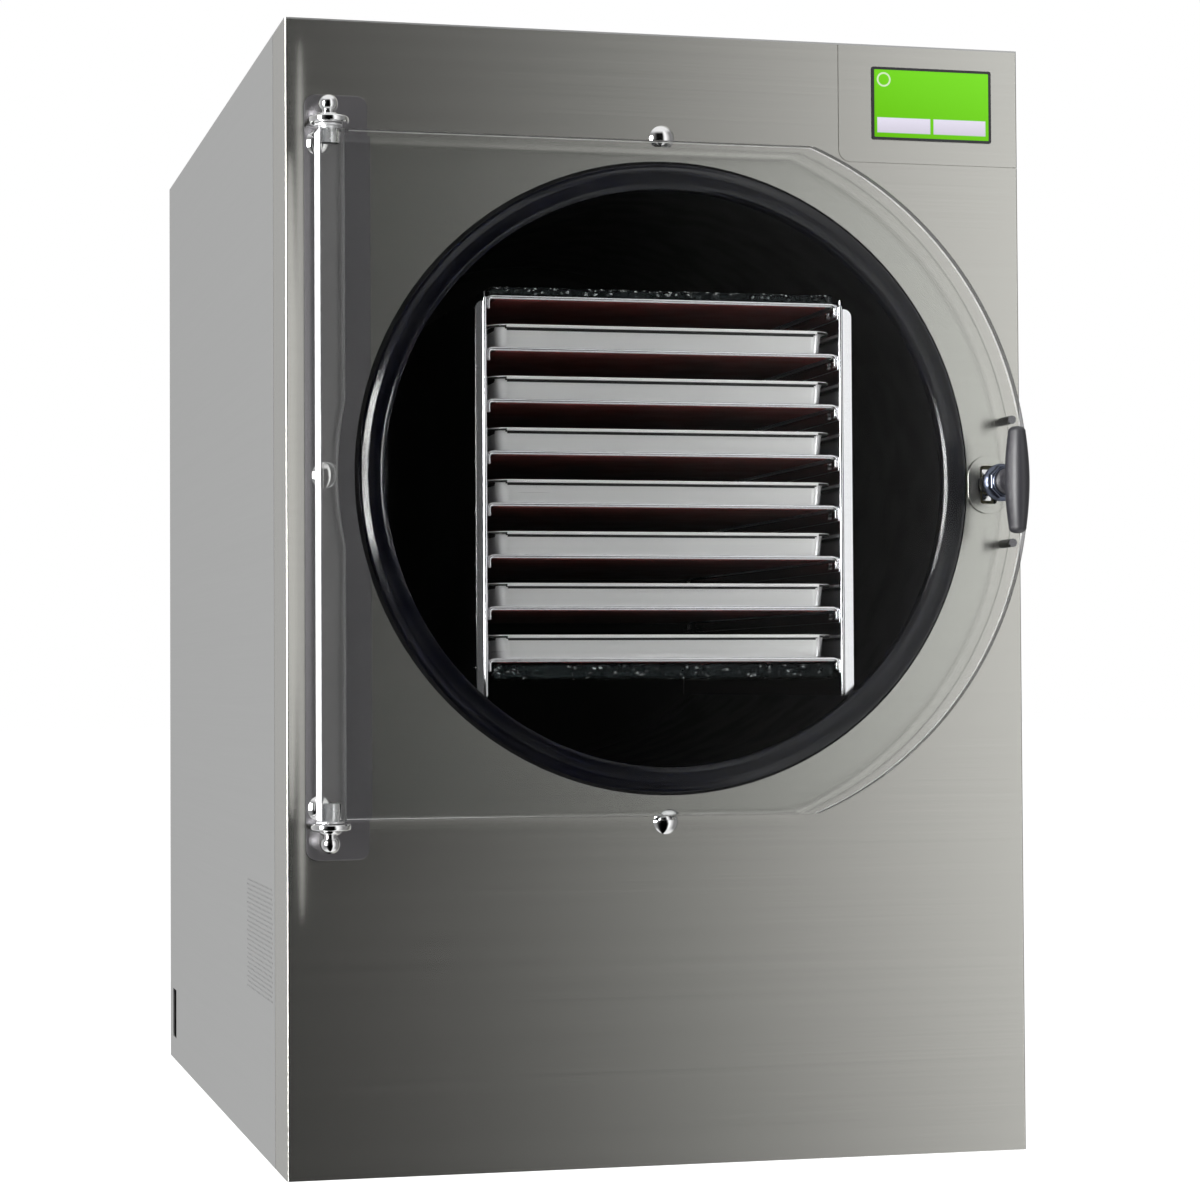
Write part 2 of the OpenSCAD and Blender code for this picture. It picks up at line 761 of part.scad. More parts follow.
module door_blank() {
    c = 1;
    y0 = door_front;
    y1 = door_rear;
    z0 = door_c[1] - door_half;
    z1 = door_c[1] + door_half;
    intersection() {
        union() {
            turned_y(door_c, [[0, y0], [door_r - c, y0], [door_r, y0 + c], [door_r, y1 - c], [door_r - c, y1], [0, y1]]);
            block([door_left, y0, z0], [door_c[0], y1, z1]);
        }
        // Small chamfers along the straight edges
        slab_x(door_left, door_c[0] + door_r) polygon([
            [y0 + c, z0], [y1 - c, z0], [y1, z0 + c], [y1, z1 - c], [y1 - c, z1], [y0 + c, z1], [y0, z1 - c], [y0, z0 + c]]);
        slab_z(z0, z1) polygon([
            [door_left, y0 + c], [door_left + c, y0], [door_c[0] + door_r, y0], [door_c[0] + door_r, y1],
            [door_left + c, y1], [door_left, y1 - c]]);
    }
}

module door_panel() {
    z0 = door_c[1] - door_half;
    z1 = door_c[1] + door_half;
    color("lightcyan", 0.4) from_front() difference() {
        door_blank();
        // Rabbet along the hinge side, outside the sealing circle
        difference() {
            block([door_left - 1, door_rear - rabbet_d, z0 - 1], [rabbet_x, 1, z1 + 1]);
            bar_y([0, chamber_z], rabbet_r, door_rear - rabbet_d - 1, 2);
        }
        translate([pin_x, pin_y, z1 - bush_top]) cylinder(h = bush_top + 1, r = bushing_r);
        translate([pin_x, pin_y, z0 - 1]) cylinder(h = bush_low + 1, r = bushing_r);
        bar_y(latch_c, 11, door_front - 1, 1);
        for (s = [-1, 1]) bar_y([stud_x, door_c[1] + s * stud_dz], 4, door_front - 1, 1);
    }
}

// Flanged bush, with z = 0 at the door's edge and the ear's face at z = gap
module bushing(gap, depth) {
    top = gap - 0.3;
    difference() {
        union() {
            translate([0, 0, -depth]) cylinder(h = depth + top, r = bushing_r);
            translate([0, 0, top - 2]) cylinder(h = 2, r = 13);
        }
        translate([0, 0, -depth - 1]) cylinder(h = depth + gap + 2, r = pin_r + pin_fit);
    }
}

module door_bushings() {
    z0 = door_c[1] - door_half;
    z1 = door_c[1] + door_half;
    color("silver") from_front() {
        translate([pin_x, pin_y, z1]) bushing(ear_top_z - z1, bush_top);
        translate([pin_x, pin_y, z0]) mirror([0, 0, 1]) bushing(z0 - ear_low_z, bush_low);
    }
}

// Dark steel pins through the door above and below the handle
module door_studs() {
    color("dimgray") from_front() for (s = [-1, 1])
        bar_y([stud_x, door_c[1] + s * stud_dz], 4, door_front - 0.6, door_rear - 0.2);
}

module latch_hub() {
    color("silver") from_front() difference() {
        union() {
            bar_y(latch_c, 11, door_front, door_rear);
            turned_y(latch_c, [[0, door_front], [18, door_front], [18, door_front - 3], [15.5, door_front - 6], [0, door_front - 6]]);
            translate([latch_c[0], door_front - 6, latch_c[1]]) rotate([90, 0, 0]) rotate([0, 0, 22.5])
                cylinder(h = 9, r = 16.5, $fn = 8);
            bar_y(latch_c, 14, door_front - 17, door_front - 15);
        }
        bar_y(latch_c, shaft_r + run_fit, door_front - 20, 1);
    }
}

module door_handle() {
    y0 = door_front - 17.4;
    grip_y = -92;
    color("dimgray") from_front() {
        turned_y(latch_c, [[0, shaft_end], [shaft_r, shaft_end], [shaft_r, y0], [12.5, y0], [12.5, y0 - 4],
                           [11, y0 - 14], [0, y0 - 14]]);
        hull() {
            for (s = [-1, 1]) translate([latch_c[0], grip_y, latch_c[1] + s * 42]) sphere(8.6, $fn = 32);
            for (y = [-6, 5]) translate([latch_c[0], grip_y + y, latch_c[1]]) sphere(11.6, $fn = 32);
        }
    }
}

// Cross bar with its stem, fixed to the end of the handle shaft
module latch_bar() {
    color("silver") from_front() {
        block([latch_c[0] - 4.5, 3, latch_c[1] - 15], [latch_c[0] + 4.5, 9, latch_c[1] + 15]);
        bar_y(latch_c, 4.2, shaft_end, 10.5);
    }
}

module latch_slot(y0, y1) {
    slab_y(y0, y1) translate(latch_c) rounded(17, 37, 3);
}

module strike_plate() {
    color("silver") from_front() difference() {
        union() {
            slab_y(-1.5, 0) translate(latch_c) rounded(42, 56, 20.9);
            slab_y(-2.5, -1.5) translate(latch_c) rounded(40, 54, 19.9);
        }
        latch_slot(-4, 1);
    }
}

// ---- output --------------------------------------------------------------------------------

base_pan();
front_panel();
control_fascia();
left_side_panel();
right_side_panel();
top_panel();
rear_panel();
screen_bezel();
touch_screen();
control_board();
vacuum_chamber();
dome_bolts();
door_gasket();
cooling_coil();
chamber_insulation();
chamber_cradle();
compressor();
compressor_feet();
condenser();
fan_shroud();
fan_motor();
fan_blades();
refrigerant_pipes();
power_inlet();
power_switch();
pump_outlet();
vacuum_port();
vacuum_pipe();
drain_valve();
drain_lever();
drain_pipe();
rack_side_left();
rack_side_right();
for (i = [1:SHELVES]) shelf(i);
heater_mats();
for (i = [1:TRAYS]) tray(i);
foil_sheets();
rack_screws();
hinge_plate();
hinge_pins();
door_panel();
door_bushings();
door_studs();
latch_hub();
door_handle();
latch_bar();
strike_plate();
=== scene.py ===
"""Cabinet freeze dryer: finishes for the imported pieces, finer versions of those that show, stage, lamps and camera."""

import json
import math

import bmesh
import bpy
import numpy as np
from bpy.props import FloatProperty, FloatVectorProperty, IntProperty, PointerProperty
from mathutils import Matrix, Vector
from mathutils.geometry import tessellate_polygon


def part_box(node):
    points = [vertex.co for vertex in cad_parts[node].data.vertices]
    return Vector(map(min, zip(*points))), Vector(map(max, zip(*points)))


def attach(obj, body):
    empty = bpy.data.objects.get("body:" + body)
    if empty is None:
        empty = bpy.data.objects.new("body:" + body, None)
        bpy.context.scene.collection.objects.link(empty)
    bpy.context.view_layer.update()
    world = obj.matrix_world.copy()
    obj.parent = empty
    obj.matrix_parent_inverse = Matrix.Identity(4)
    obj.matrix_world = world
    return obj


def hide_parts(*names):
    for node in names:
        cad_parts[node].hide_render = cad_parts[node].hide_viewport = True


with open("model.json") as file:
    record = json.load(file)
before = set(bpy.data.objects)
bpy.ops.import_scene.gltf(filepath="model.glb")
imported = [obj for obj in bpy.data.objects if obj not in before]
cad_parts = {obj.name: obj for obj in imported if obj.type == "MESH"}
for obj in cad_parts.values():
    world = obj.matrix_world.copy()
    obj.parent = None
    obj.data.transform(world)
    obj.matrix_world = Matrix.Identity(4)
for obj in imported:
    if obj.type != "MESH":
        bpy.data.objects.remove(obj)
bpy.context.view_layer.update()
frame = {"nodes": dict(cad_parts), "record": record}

bl_info = {
    "name": "Freeze dryer",
    "version": (1, 0, 0),
    "blender": (4, 5, 0),
    "location": "3D View > Sidebar > Freeze dryer",
    "description": "Dresses the packed freeze dryer with its finishes, door, rack, stage and camera",
    "category": "Object",
}


def middle(node):
    """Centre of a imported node's box."""
    low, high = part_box(node)
    return (low + high) / 2


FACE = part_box("control_fascia")[0].y  # outside of the front sheet
CHAMBER_X, CHAMBER_Z = middle("door_gasket").x, middle("door_gasket").z
LATCH_X, LATCH_Z = middle("latch_hub").x, middle("latch_hub").z
PIN_X, PIN_Y = middle("hinge_pins").x, middle("hinge_pins").y

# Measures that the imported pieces' boxes don't give
DOOR_RADIUS = 0.339
# The door's walls carry a painted dark line and a painted light line near the front, standing in for reflections in the
# edge
DARK_LINE, LIGHT_LINE = 0.0100, 0.0145  # how far back from the front these lines reach on the door's walls
HUB_BORE, STUD_BORE, BUSH_BORE = 0.01112, 0.00406, 0.00912
BUSH_DEPTHS = 0.012, 0.016  # top and bottom
STUD_RADIUS = 0.004
BOLT_RADIUS = 0.012
PIN_RADIUS = 0.005
PLATE = 0.003  # hinge plate
EAR, EAR_NOSE = 0.006, 0.0185  # thickness of an ear of the hinge plate, and radius of its nose
EAR_FACES = 0.967, 0.327  # sides of the two ears that face the door
RACK_SHEET = 0.0015
RACK_HALF = 0.1735  # from the middle to the inside of an upright


# ---- sizes and colours a user may change ---------------------------------------------------


def length(name, description, default):
    return FloatProperty(
        name=name, description=description, default=default, unit="LENGTH", subtype="DISTANCE", precision=4
    )


def colour(name, description, default):
    return FloatVectorProperty(
        name=name, description=description, default=default, size=3, min=0, max=1, subtype="COLOR"
    )


def share(name, description, default):
    return FloatProperty(name=name, description=description, default=default, min=0, max=1, subtype="FACTOR")


class CabinetSettings(bpy.types.PropertyGroup):
    front_colour: colour("Front steel", "Colour of the brushed front sheet", (0.62, 0.615, 0.575))
    side_colour: colour("Side sheets", "Colour of the satin side sheets", (0.62, 0.625, 0.62))
    front_roughness: share("Front roughness", "Roughness of the brushed front sheet", 0.26)
    grain: share("Grain", "How strongly the brushed grain shows", 0.16)


class DoorSettings(bpy.types.PropertyGroup):
    edge: length("Edge radius", "Radius of the small rounding round the slab", 0.0014)
    rabbet: length("Rabbet depth", "Depth of the step along the hinge side", 0.010)
    rabbet_edge: length("Rabbet edge", "X of the step's straight edge", -0.3088)
    rabbet_radius: length("Rabbet radius", "Radius left full round the chamber", 0.316)
    arc_steps: IntProperty(
        name="Arc steps", description="Points along the door's round edge", default=220, min=24, max=600
    )


class RackSettings(bpy.types.PropertyGroup):
    tray_wall: length("Tray wall", "Thickness of the pressed trays", 0.0009)
    tray_taper: length("Tray taper", "How far a tray narrows on each side down to its base", 0.0022)
    tray_rim: length("Tray rim", "Width of the rolled rim beyond the wall", 0.0067)
    crinkle: length("Foil crinkle", "Depth of the creases in the foil", 0.0012)


class LatchSettings(bpy.types.PropertyGroup):
    grip_colour: colour("Grip", "Colour of the moulded T-handle", (0.016, 0.0155, 0.020))
    grip_half: length("Half grip", "Distance from the shaft to the start of each rounded end", 0.0443)
    grip_thin: length("End radius", "Half width of the grip at its ends", 0.0080)
    grip_thick: length("Middle radius", "Half width of the grip at the shaft", 0.0113)


class ScreenSettings(bpy.types.PropertyGroup):
    lit_colour: colour("Lit colour", "Colour of the lit display", (0.17, 0.68, 0.0))
    button_colour: colour("Button colour", "Colour of the two blank buttons", (0.84, 0.80, 0.93))
    glow: share("Glow", "Brightness of the lit display", 0.78)


class StageSettings(bpy.types.PropertyGroup):
    lens: FloatProperty(
        name="Lens", description="Focal length of the camera", default=92.08, min=10, max=300, unit="CAMERA"
    )
    camera_place: FloatVectorProperty(
        name="Camera", description="Place of the camera", default=(-0.7594, -3.307, 0.4516), size=3,
        subtype="TRANSLATION", unit="LENGTH",
    )
    camera_turn: FloatVectorProperty(
        name="Camera turn", description="Pan, tilt and roll of the camera in degrees",
        default=(-13.957, 1.5966, -0.3127), size=3,
    )
    floor_colour: colour("Floor", "Colour of the floor", (0.86, 0.86, 0.86))
    floor_span: length("Floor span", "Length of the floor's side", 60.0)
    ambient: share("Ambient", "Strength of the even light from the world", 0.42)


GROUPS = {
    "dryer_cabinet": CabinetSettings,
    "dryer_door": DoorSettings,
    "dryer_rack": RackSettings,
    "dryer_latch": LatchSettings,
    "dryer_screen": ScreenSettings,
    "dryer_stage": StageSettings,
}


# ---- surfaces ------------------------------------------------------------------------------


def turns(steps):
    """Angles of a full circle, without the last one that would meet the first."""
    return np.linspace(0, 2 * math.pi, steps, endpoint=False)


def arc(centre, radius, t):
    """Points of a circle at the angles t: the centre plus the radius times (cos t, sin t)."""
    return np.stack([centre[0] + radius * np.cos(t), centre[1] + radius * np.sin(t)], -1)


def rounding(radius, steps):
    """Rounded edge as pairs (inset, depth), from the face to the side wall: radius times (1 - sin a, 1 - cos a) with
    a from 0 to a quarter turn."""
    a = np.linspace(0, math.pi / 2, steps)
    return radius * (1 - np.stack([np.sin(a), np.cos(a)], -1))


def ball_cap(radius, rise, steps=24):
    """Profile of a dome from its rim to its pole: radius R sin(a) and height R (cos(a) - cos(rim)), for the ball of
    radius R that has this rim and rise."""
    ball = (radius * radius + rise * rise) / (2 * rise)
    rim = math.asin(radius / ball)
    a = np.linspace(rim, 0, steps)
    return np.stack([ball * np.sin(a), ball * (np.cos(a) - math.cos(rim))], -1)


def round_corners(half_x, half_y, radius, steps=14):
    """Corner centres and outward directions round a rectangle with round corners. The outline pushed out by a
    distance is centre + (radius + distance) times direction."""
    turn = np.concatenate([(k + np.linspace(0, 1, steps)) * math.pi / 2 for k in range(4)])
    signs = np.repeat(np.array([(1, 1), (-1, 1), (-1, -1), (1, -1)], float), steps, 0)
    return signs * (half_x - radius, half_y - radius), arc((0, 0), 1, turn)


def rounded_box(low, high, radius, steps):
    """Outline of the rectangle between two corners, with round corners."""
    low, high = np.array(low), np.array(high)
    corner, way = round_corners(*(high - low) / 2, radius, steps)
    return corner + radius * way + (low + high) / 2


def upright(outline, y):
    """Outline of points (x, z) at the depth y."""
    return np.stack([outline[:, 0], np.full(len(outline), y), outline[:, 1]], -1)


def unit(vectors):
    """Vectors scaled to a length of one."""
    return vectors / np.linalg.norm(vectors, axis=-1, keepdims=True)


def squares(nu, nv, close_u=False, close_v=False):
    """Corner numbers of the squares of a grid of nu by nv points. A closed direction joins its last line to its
    first."""
    a, b = np.meshgrid(np.arange(nu if close_u else nu - 1), np.arange(nv if close_v else nv - 1), indexing="ij")
    c, d = (a + 1) % nu, (b + 1) % nv
    return np.stack([a * nv + b, c * nv + b, c * nv + d, a * nv + d], -1).reshape(-1, 4)


class Shell:
    """Collects grids and flat faces, then makes one closed mesh of them."""

    def __init__(self):
        self.points, self.faces, self.count = [], [], 0

    def add(self, points, faces):
        points = np.asarray(points, float).reshape(-1, 3)
        self.points.append(points)
        self.faces += (np.asarray(faces) + self.count).tolist()
        self.count += len(points)

    def grid(self, points, close_u=False, close_v=False, leave_out=()):
        """A grid of points [u, v, xyz] as squares, without the squares whose numbers are in leave_out."""
        nu, nv = points.shape[:2]
        self.add(points, np.delete(squares(nu, nv, close_u, close_v), list(leave_out), axis=0))

    def flat(self, rings):
        """A flat face: the first ring is its outline and the others are its holes."""
        triangles = tessellate_polygon([[Vector(p) for p in ring] for ring in rings])
        self.add(np.concatenate(rings), [list(t) for t in triangles])

    def slab(self, outline, lift, profile):
        """Flat plate with worked edges. Each profile point is (inset, level): the outline's points move inwards along
        the bisector of their two sides by the inset, and lift(points, level) places them. The ends are closed flat,
        each with one more line just inside, so that the rounding stays at the edge."""
        first, last = profile[0], profile[-1]
        profile = [(first[0] + 0.0005, first[1]), *profile, (last[0] + 0.0005, last[1])]
        x, y = outline.T
        way = 1 if np.sum(x * np.roll(y, -1) - y * np.roll(x, -1)) > 0 else -1
        before, after = unit(outline - np.roll(outline, 1, 0)), unit(np.roll(outline, -1, 0) - outline)
        inwards = [way * np.stack([-v[:, 1], v[:, 0]], -1) for v in (before, after)]
        bisector = sum(inwards)
        bisector /= np.sum(bisector * inwards[0], axis=1, keepdims=True)
        rings = np.stack([lift(outline + inset * bisector, level) for inset, level in profile])
        self.grid(rings, close_v=True)
        self.flat([rings[0]])
        self.flat([rings[-1]])

    def tube(self, path, radius, steps=16):
        """Round bar along a path in one upright plane: each ring is the path's point plus the radius times
        (cos t across the path in the plane, sin t along Y), with a small dome at both ends."""
        along = unit(np.gradient(path, axis=0))
        across = np.stack([-along[:, 2], np.zeros(len(path)), along[:, 0]], -1)
        t = turns(steps)[None, :, None]
        ring = across[:, None] * np.cos(t) + np.array([0, 1, 0]) * np.sin(t)
        dome = [(radius * math.cos(a), radius * math.sin(a)) for a in np.linspace(0, math.pi / 2, 5)[:-1]]
        start = [path[0] - along[0] * out + ring[0] * wide for out, wide in dome]
        end = [path[-1] + along[-1] * out + ring[-1] * wide for out, wide in dome[::-1]]
        self.grid(np.concatenate([start, path[:, None] + ring * radius, end]), close_v=True)

    def turned(self, centre, axis, profile, steps=128, closed=False, sides=0):
        """Surface of revolution. At angle t a profile point (radius, height) lies at the centre plus radius times
        (cos t, sin t) across the axis, and at that height along it. A third number s in a point bends its circle
        into a polygon of the given sides: the radius is multiplied by 1 - s + s cos(h) / cos(t'), with h half the
        angle of a side and t' the angle from the middle of the side."""
        t = turns(steps)
        rows = np.array([(*p, 0)[:3] for p in profile], float)
        radius = np.repeat(rows[:, :1], steps, 1)
        if sides:
            half = math.pi / sides
            from_middle = (t + half) % (2 * half) - half
            radius = radius * (1 - rows[:, 2:] + rows[:, 2:] * math.cos(half) / np.cos(from_middle))
        cx, cy, cz = centre
        along, p, q = np.repeat(rows[:, 1:2], steps, 1), radius * np.cos(t), radius * np.sin(t)
        place = [cx + p, cy + along, cz + q] if axis == "y" else [cx + p, cy + q, cz + along]
        self.grid(np.stack(place, -1), close_u=closed, close_v=True)

    def piece(self, name, finish, body, node_names, sharp=32, worked=None):
        """Merges the seams and poles, turns the faces outwards and makes the object. Worked gives, from the faces'
        middles and normals, further finishes with the faces that have them; a later one covers an earlier one."""
        merge = 2e-6
        mesh = bpy.data.meshes.new(name)
        mesh.from_pydata(np.concatenate(self.points).tolist(), [], self.faces)
        work = bmesh.new()
        work.from_mesh(mesh)
        bmesh.ops.remove_doubles(work, verts=work.verts, dist=merge)
        bmesh.ops.dissolve_degenerate(work, edges=work.edges, dist=merge / 2)
        bmesh.ops.recalc_face_normals(work, faces=work.faces)
        work.to_mesh(mesh)
        work.free()
        mesh.polygons.foreach_set("use_smooth", np.ones(len(mesh.polygons), bool))
        mesh.set_sharp_from_angle(angle=math.radians(sharp))
        mesh.materials.append(FINISHES[finish])
        if worked:
            middles, normals = np.empty((2, len(mesh.polygons), 3))
            mesh.polygons.foreach_get("center", middles.ravel())
            mesh.polygons.foreach_get("normal", normals.ravel())
            number = np.zeros(len(mesh.polygons), np.int32)
            for k, (extra, chosen) in enumerate(worked(middles, normals), 1):
                mesh.materials.append(FINISHES[extra])
                number[chosen] = k
            mesh.polygons.foreach_set("material_index", number)
        made = bpy.data.objects.new(name, mesh)
        bpy.context.scene.collection.objects.link(made)
        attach(made, body)
        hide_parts(*node_names)


# ---- shared effects ------------------------------------------------------------------------


class Nodes:
    """Short calls for building a node tree."""

    def __init__(self, tree):
        self.tree = tree

    def add(self, kind, **settings):
        made = self.tree.nodes.new("ShaderNode" + kind)
        for key, value in settings.items():
            setattr(made, key, value)
        return made

    def join(self, source, target):
        self.tree.links.new(source, target)

    def put(self, value, target):
        if isinstance(value, bpy.types.NodeSocket):
            self.join(value, target)
        else:
            target.default_value = value

    def math(self, operation, *values):
        made = self.add("Math", operation=operation)
        for value, socket in zip(values, made.inputs):
            self.put(value, socket)
        return made.outputs[0]

    def plus(self, a, b):
        return self.math("ADD", a, b)

    def minus(self, a, b):
        return self.math("SUBTRACT", a, b)

    def times(self, a, b):
        return self.math("MULTIPLY", a, b)

    def above(self, a, b):
        return self.math("GREATER_THAN", a, b)

    def below(self, a, b):
        return self.math("LESS_THAN", a, b)

    def most(self, a, b):
        return self.math("MAXIMUM", a, b)

    def distance(self, a, b):
        return self.math("SQRT", self.plus(self.times(a, a), self.times(b, b)))

    def remap(self, value, low, high, to_low=0.0, to_high=1.0, smooth=False):
        made = self.add("MapRange", interpolation_type="SMOOTHSTEP" if smooth else "LINEAR")
        for v, socket in zip((value, low, high, to_low, to_high), made.inputs):
            self.put(v, socket)
        return made.outputs[0]

    def mix(self, amount, a, b):
        """Colour between a and b."""
        made = self.add("Mix", data_type="RGBA")
        for value, index in ((amount, 0), (a, 6), (b, 7)):
            if isinstance(value, tuple) and len(value) == 3:
                value = (*value, 1)
            self.put(value, made.inputs[index])
        return made.outputs[2]

    def scale(self, paint, amount):
        """Colour times a number."""
        made = self.add("VectorMath", operation="SCALE")
        self.put(paint, made.inputs[0])
        self.put(amount, made.inputs["Scale"])
        return made.outputs[0]

    def here(self):
        """Object coordinates."""
        return self.add("TexCoord").outputs["Object"]

    def stretched(self, scale):
        """Object coordinates, scaled along each axis."""
        mapping = self.add("Mapping")
        mapping.inputs["Scale"].default_value = scale
        self.join(self.here(), mapping.inputs["Vector"])
        return mapping.outputs[0]

    def noise(self, vector, scale=1.0, detail=2.0, roughness=0.5):
        made = self.add("TexNoise")
        for key, value in (("Vector", vector), ("Scale", scale), ("Detail", detail), ("Roughness", roughness)):
            self.put(value, made.inputs[key])
        return made.outputs[0]

    def cells(self, vector, scale):
        made = self.add("TexVoronoi", feature="F1")
        self.put(vector, made.inputs["Vector"])
        self.put(scale, made.inputs["Scale"])
        return made.outputs

    def split(self, vector):
        made = self.add("SeparateXYZ")
        self.join(vector, made.inputs[0])
        return made.outputs

    def use(self, effect, **values):
        """A shared effect with its own values."""
        made = self.add("Group")
        made.node_tree = SHARED[effect]
        for key, value in values.items():
            self.put(value, made.inputs[key])
        return made.outputs


SHARED = {}
FINISHES = {}


def new_group(name, inputs, outputs):
    """Empty shared effect with the named sockets: its node helper, what comes in and what goes out."""
    group = SHARED[name] = bpy.data.node_groups.new(name, "ShaderNodeTree")
    for label, kind, default in inputs:
        socket = group.interface.new_socket(name=label, in_out="INPUT", socket_type="NodeSocket" + kind)
        socket.default_value = default
    for label, kind in outputs:
        group.interface.new_socket(name=label, in_out="OUTPUT", socket_type="NodeSocket" + kind)
    entry, end = group.nodes.new("NodeGroupInput"), group.nodes.new("NodeGroupOutput")
    return Nodes(group), entry.outputs, end.inputs


def build_groups():
    """Brushed grain, handling marks and speckle, each built once."""

    # Grain: long thin streaks. Stretch says how fast the pattern runs along each axis, in cycles a metre.
    n, given, out = new_group(
        "brushed grain",
        [("Stretch", "Vector", (6, 6, 1400)), ("Strength", "Float", 0.3), ("Colour", "Color", (0.6, 0.6, 0.6, 1)),
         ("Roughness", "Float", 0.3)],
        [("Colour", "Color"), ("Roughness", "Float"), ("Height", "Float")],
    )
    scaled = n.add("VectorMath", operation="MULTIPLY")
    n.join(n.here(), scaled.inputs[0])
    n.join(given["Stretch"], scaled.inputs[1])
    fine, coarse = n.noise(scaled.outputs[0], 1.0, 3.0, 0.65), n.noise(scaled.outputs[0], 0.13, 2.0, 0.5)
    streak = n.minus(n.plus(n.times(fine, 0.7), n.times(coarse, 0.3)), 0.5)
    swing = n.times(streak, given["Strength"])
    n.join(n.scale(given["Colour"], n.plus(1.0, swing)), out["Colour"])
    n.join(n.math("MULTIPLY_ADD", swing, 0.35, given["Roughness"]), out["Roughness"])
    n.join(streak, out["Height"])

    # Marks: soft clouds where hands and cloths have changed the gloss
    n, given, out = new_group(
        "handling marks",
        [("Scale", "Float", 9.0), ("Roughness", "Float", 0.4), ("Swing", "Float", 0.08)],
        [("Roughness", "Float"), ("Mask", "Float")],
    )
    mask = n.remap(n.noise(n.here(), given["Scale"], 4), 0.35, 0.7, smooth=True)
    n.join(n.math("MULTIPLY_ADD", n.minus(mask, 0.5), given["Swing"], given["Roughness"]), out["Roughness"])
    n.join(mask, out["Mask"])

    # Speckle: small grains, as in moulded plastic, enamel and zinc
    n, given, out = new_group(
        "speckle",
        [("Scale", "Float", 900.0), ("Colour", "Color", (0.5, 0.5, 0.5, 1)), ("Swing", "Float", 0.1)],
        [("Colour", "Color"), ("Height", "Float")],
    )
    grains = n.cells(n.here(), given["Scale"])
    shade = n.split(grains["Color"])[0]
    tone = n.math("MULTIPLY_ADD", n.minus(shade, 0.5), given["Swing"], 1.0)
    n.join(n.scale(given["Colour"], tone), out["Colour"])
    n.join(grains["Distance"], out["Height"])


def new_finish(name, **constants):
    """Material with one Principled shader and its constants: the node helper and the shader."""
    made = FINISHES[name] = bpy.data.materials.new(name)
    made.use_nodes = True
    made.node_tree.nodes.clear()
    n = Nodes(made.node_tree)
    shader = n.add("BsdfPrincipled")
    n.join(shader.outputs[0], n.add("OutputMaterial").inputs["Surface"])
    for key, value in constants.items():
        if isinstance(value, tuple):
            value = (*value, 1)
        shader.inputs[key.replace("_", " ")].default_value = value
    return n, shader


def raise_height(n, shader, height, strength, distance=0.0002):
    bump = n.add("Bump")
    bump.inputs["Strength"].default_value = strength
    bump.inputs["Distance"].default_value = distance
    n.join(height, bump.inputs["Height"])
    n.join(bump.outputs[0], shader.inputs["Normal"])


def mark_gloss(n, shader, scale, roughness, swing):
    """Roughness with handling marks; gives their mask."""
    marks = n.use("handling marks", Scale=scale, Roughness=roughness, Swing=swing)
    n.join(marks["Roughness"], shader.inputs["Roughness"])
    return marks["Mask"]


def brushed(name, paint, roughness, stretch, strength, bump=0.06, anisotropy=0.3, turn=0.25, metal=1.0):
    """Brushed sheet metal: streaks in colour, roughness and height, and a highlight spread across the grain."""
    n, shader = new_finish(name, Metallic=metal, Anisotropic=anisotropy, Anisotropic_Rotation=turn)
    grain = n.use("brushed grain", Stretch=stretch, Strength=strength, Colour=(*paint, 1), Roughness=roughness)
    n.join(grain["Colour"], shader.inputs["Base Color"])
    n.join(grain["Roughness"], shader.inputs["Roughness"])
    raise_height(n, shader, grain["Height"], bump)


def plain_metal(name, paint, roughness, swing, scale, metal=1.0):
    """Smooth or plated metal with soft marks in its gloss."""
    n, shader = new_finish(name, Metallic=metal)
    mask = mark_gloss(n, shader, scale, roughness, swing)
    n.join(n.mix(n.times(mask, 0.25), paint, tuple(c * 0.8 for c in paint)), shader.inputs["Base Color"])


def moulded(name, paint, roughness, scale, swing, bump=0.12, specular=0.5):
    """Moulded plastic, rubber, foam or enamel with a fine speckle."""
    n, shader = new_finish(name, Specular_IOR_Level=specular)
    speckle = n.use("speckle", Scale=scale, Colour=(*paint, 1), Swing=swing)
    n.join(speckle["Colour"], shader.inputs["Base Color"])
    mark_gloss(n, shader, 25.0, roughness, 0.12)
    raise_height(n, shader, speckle["Height"], bump)


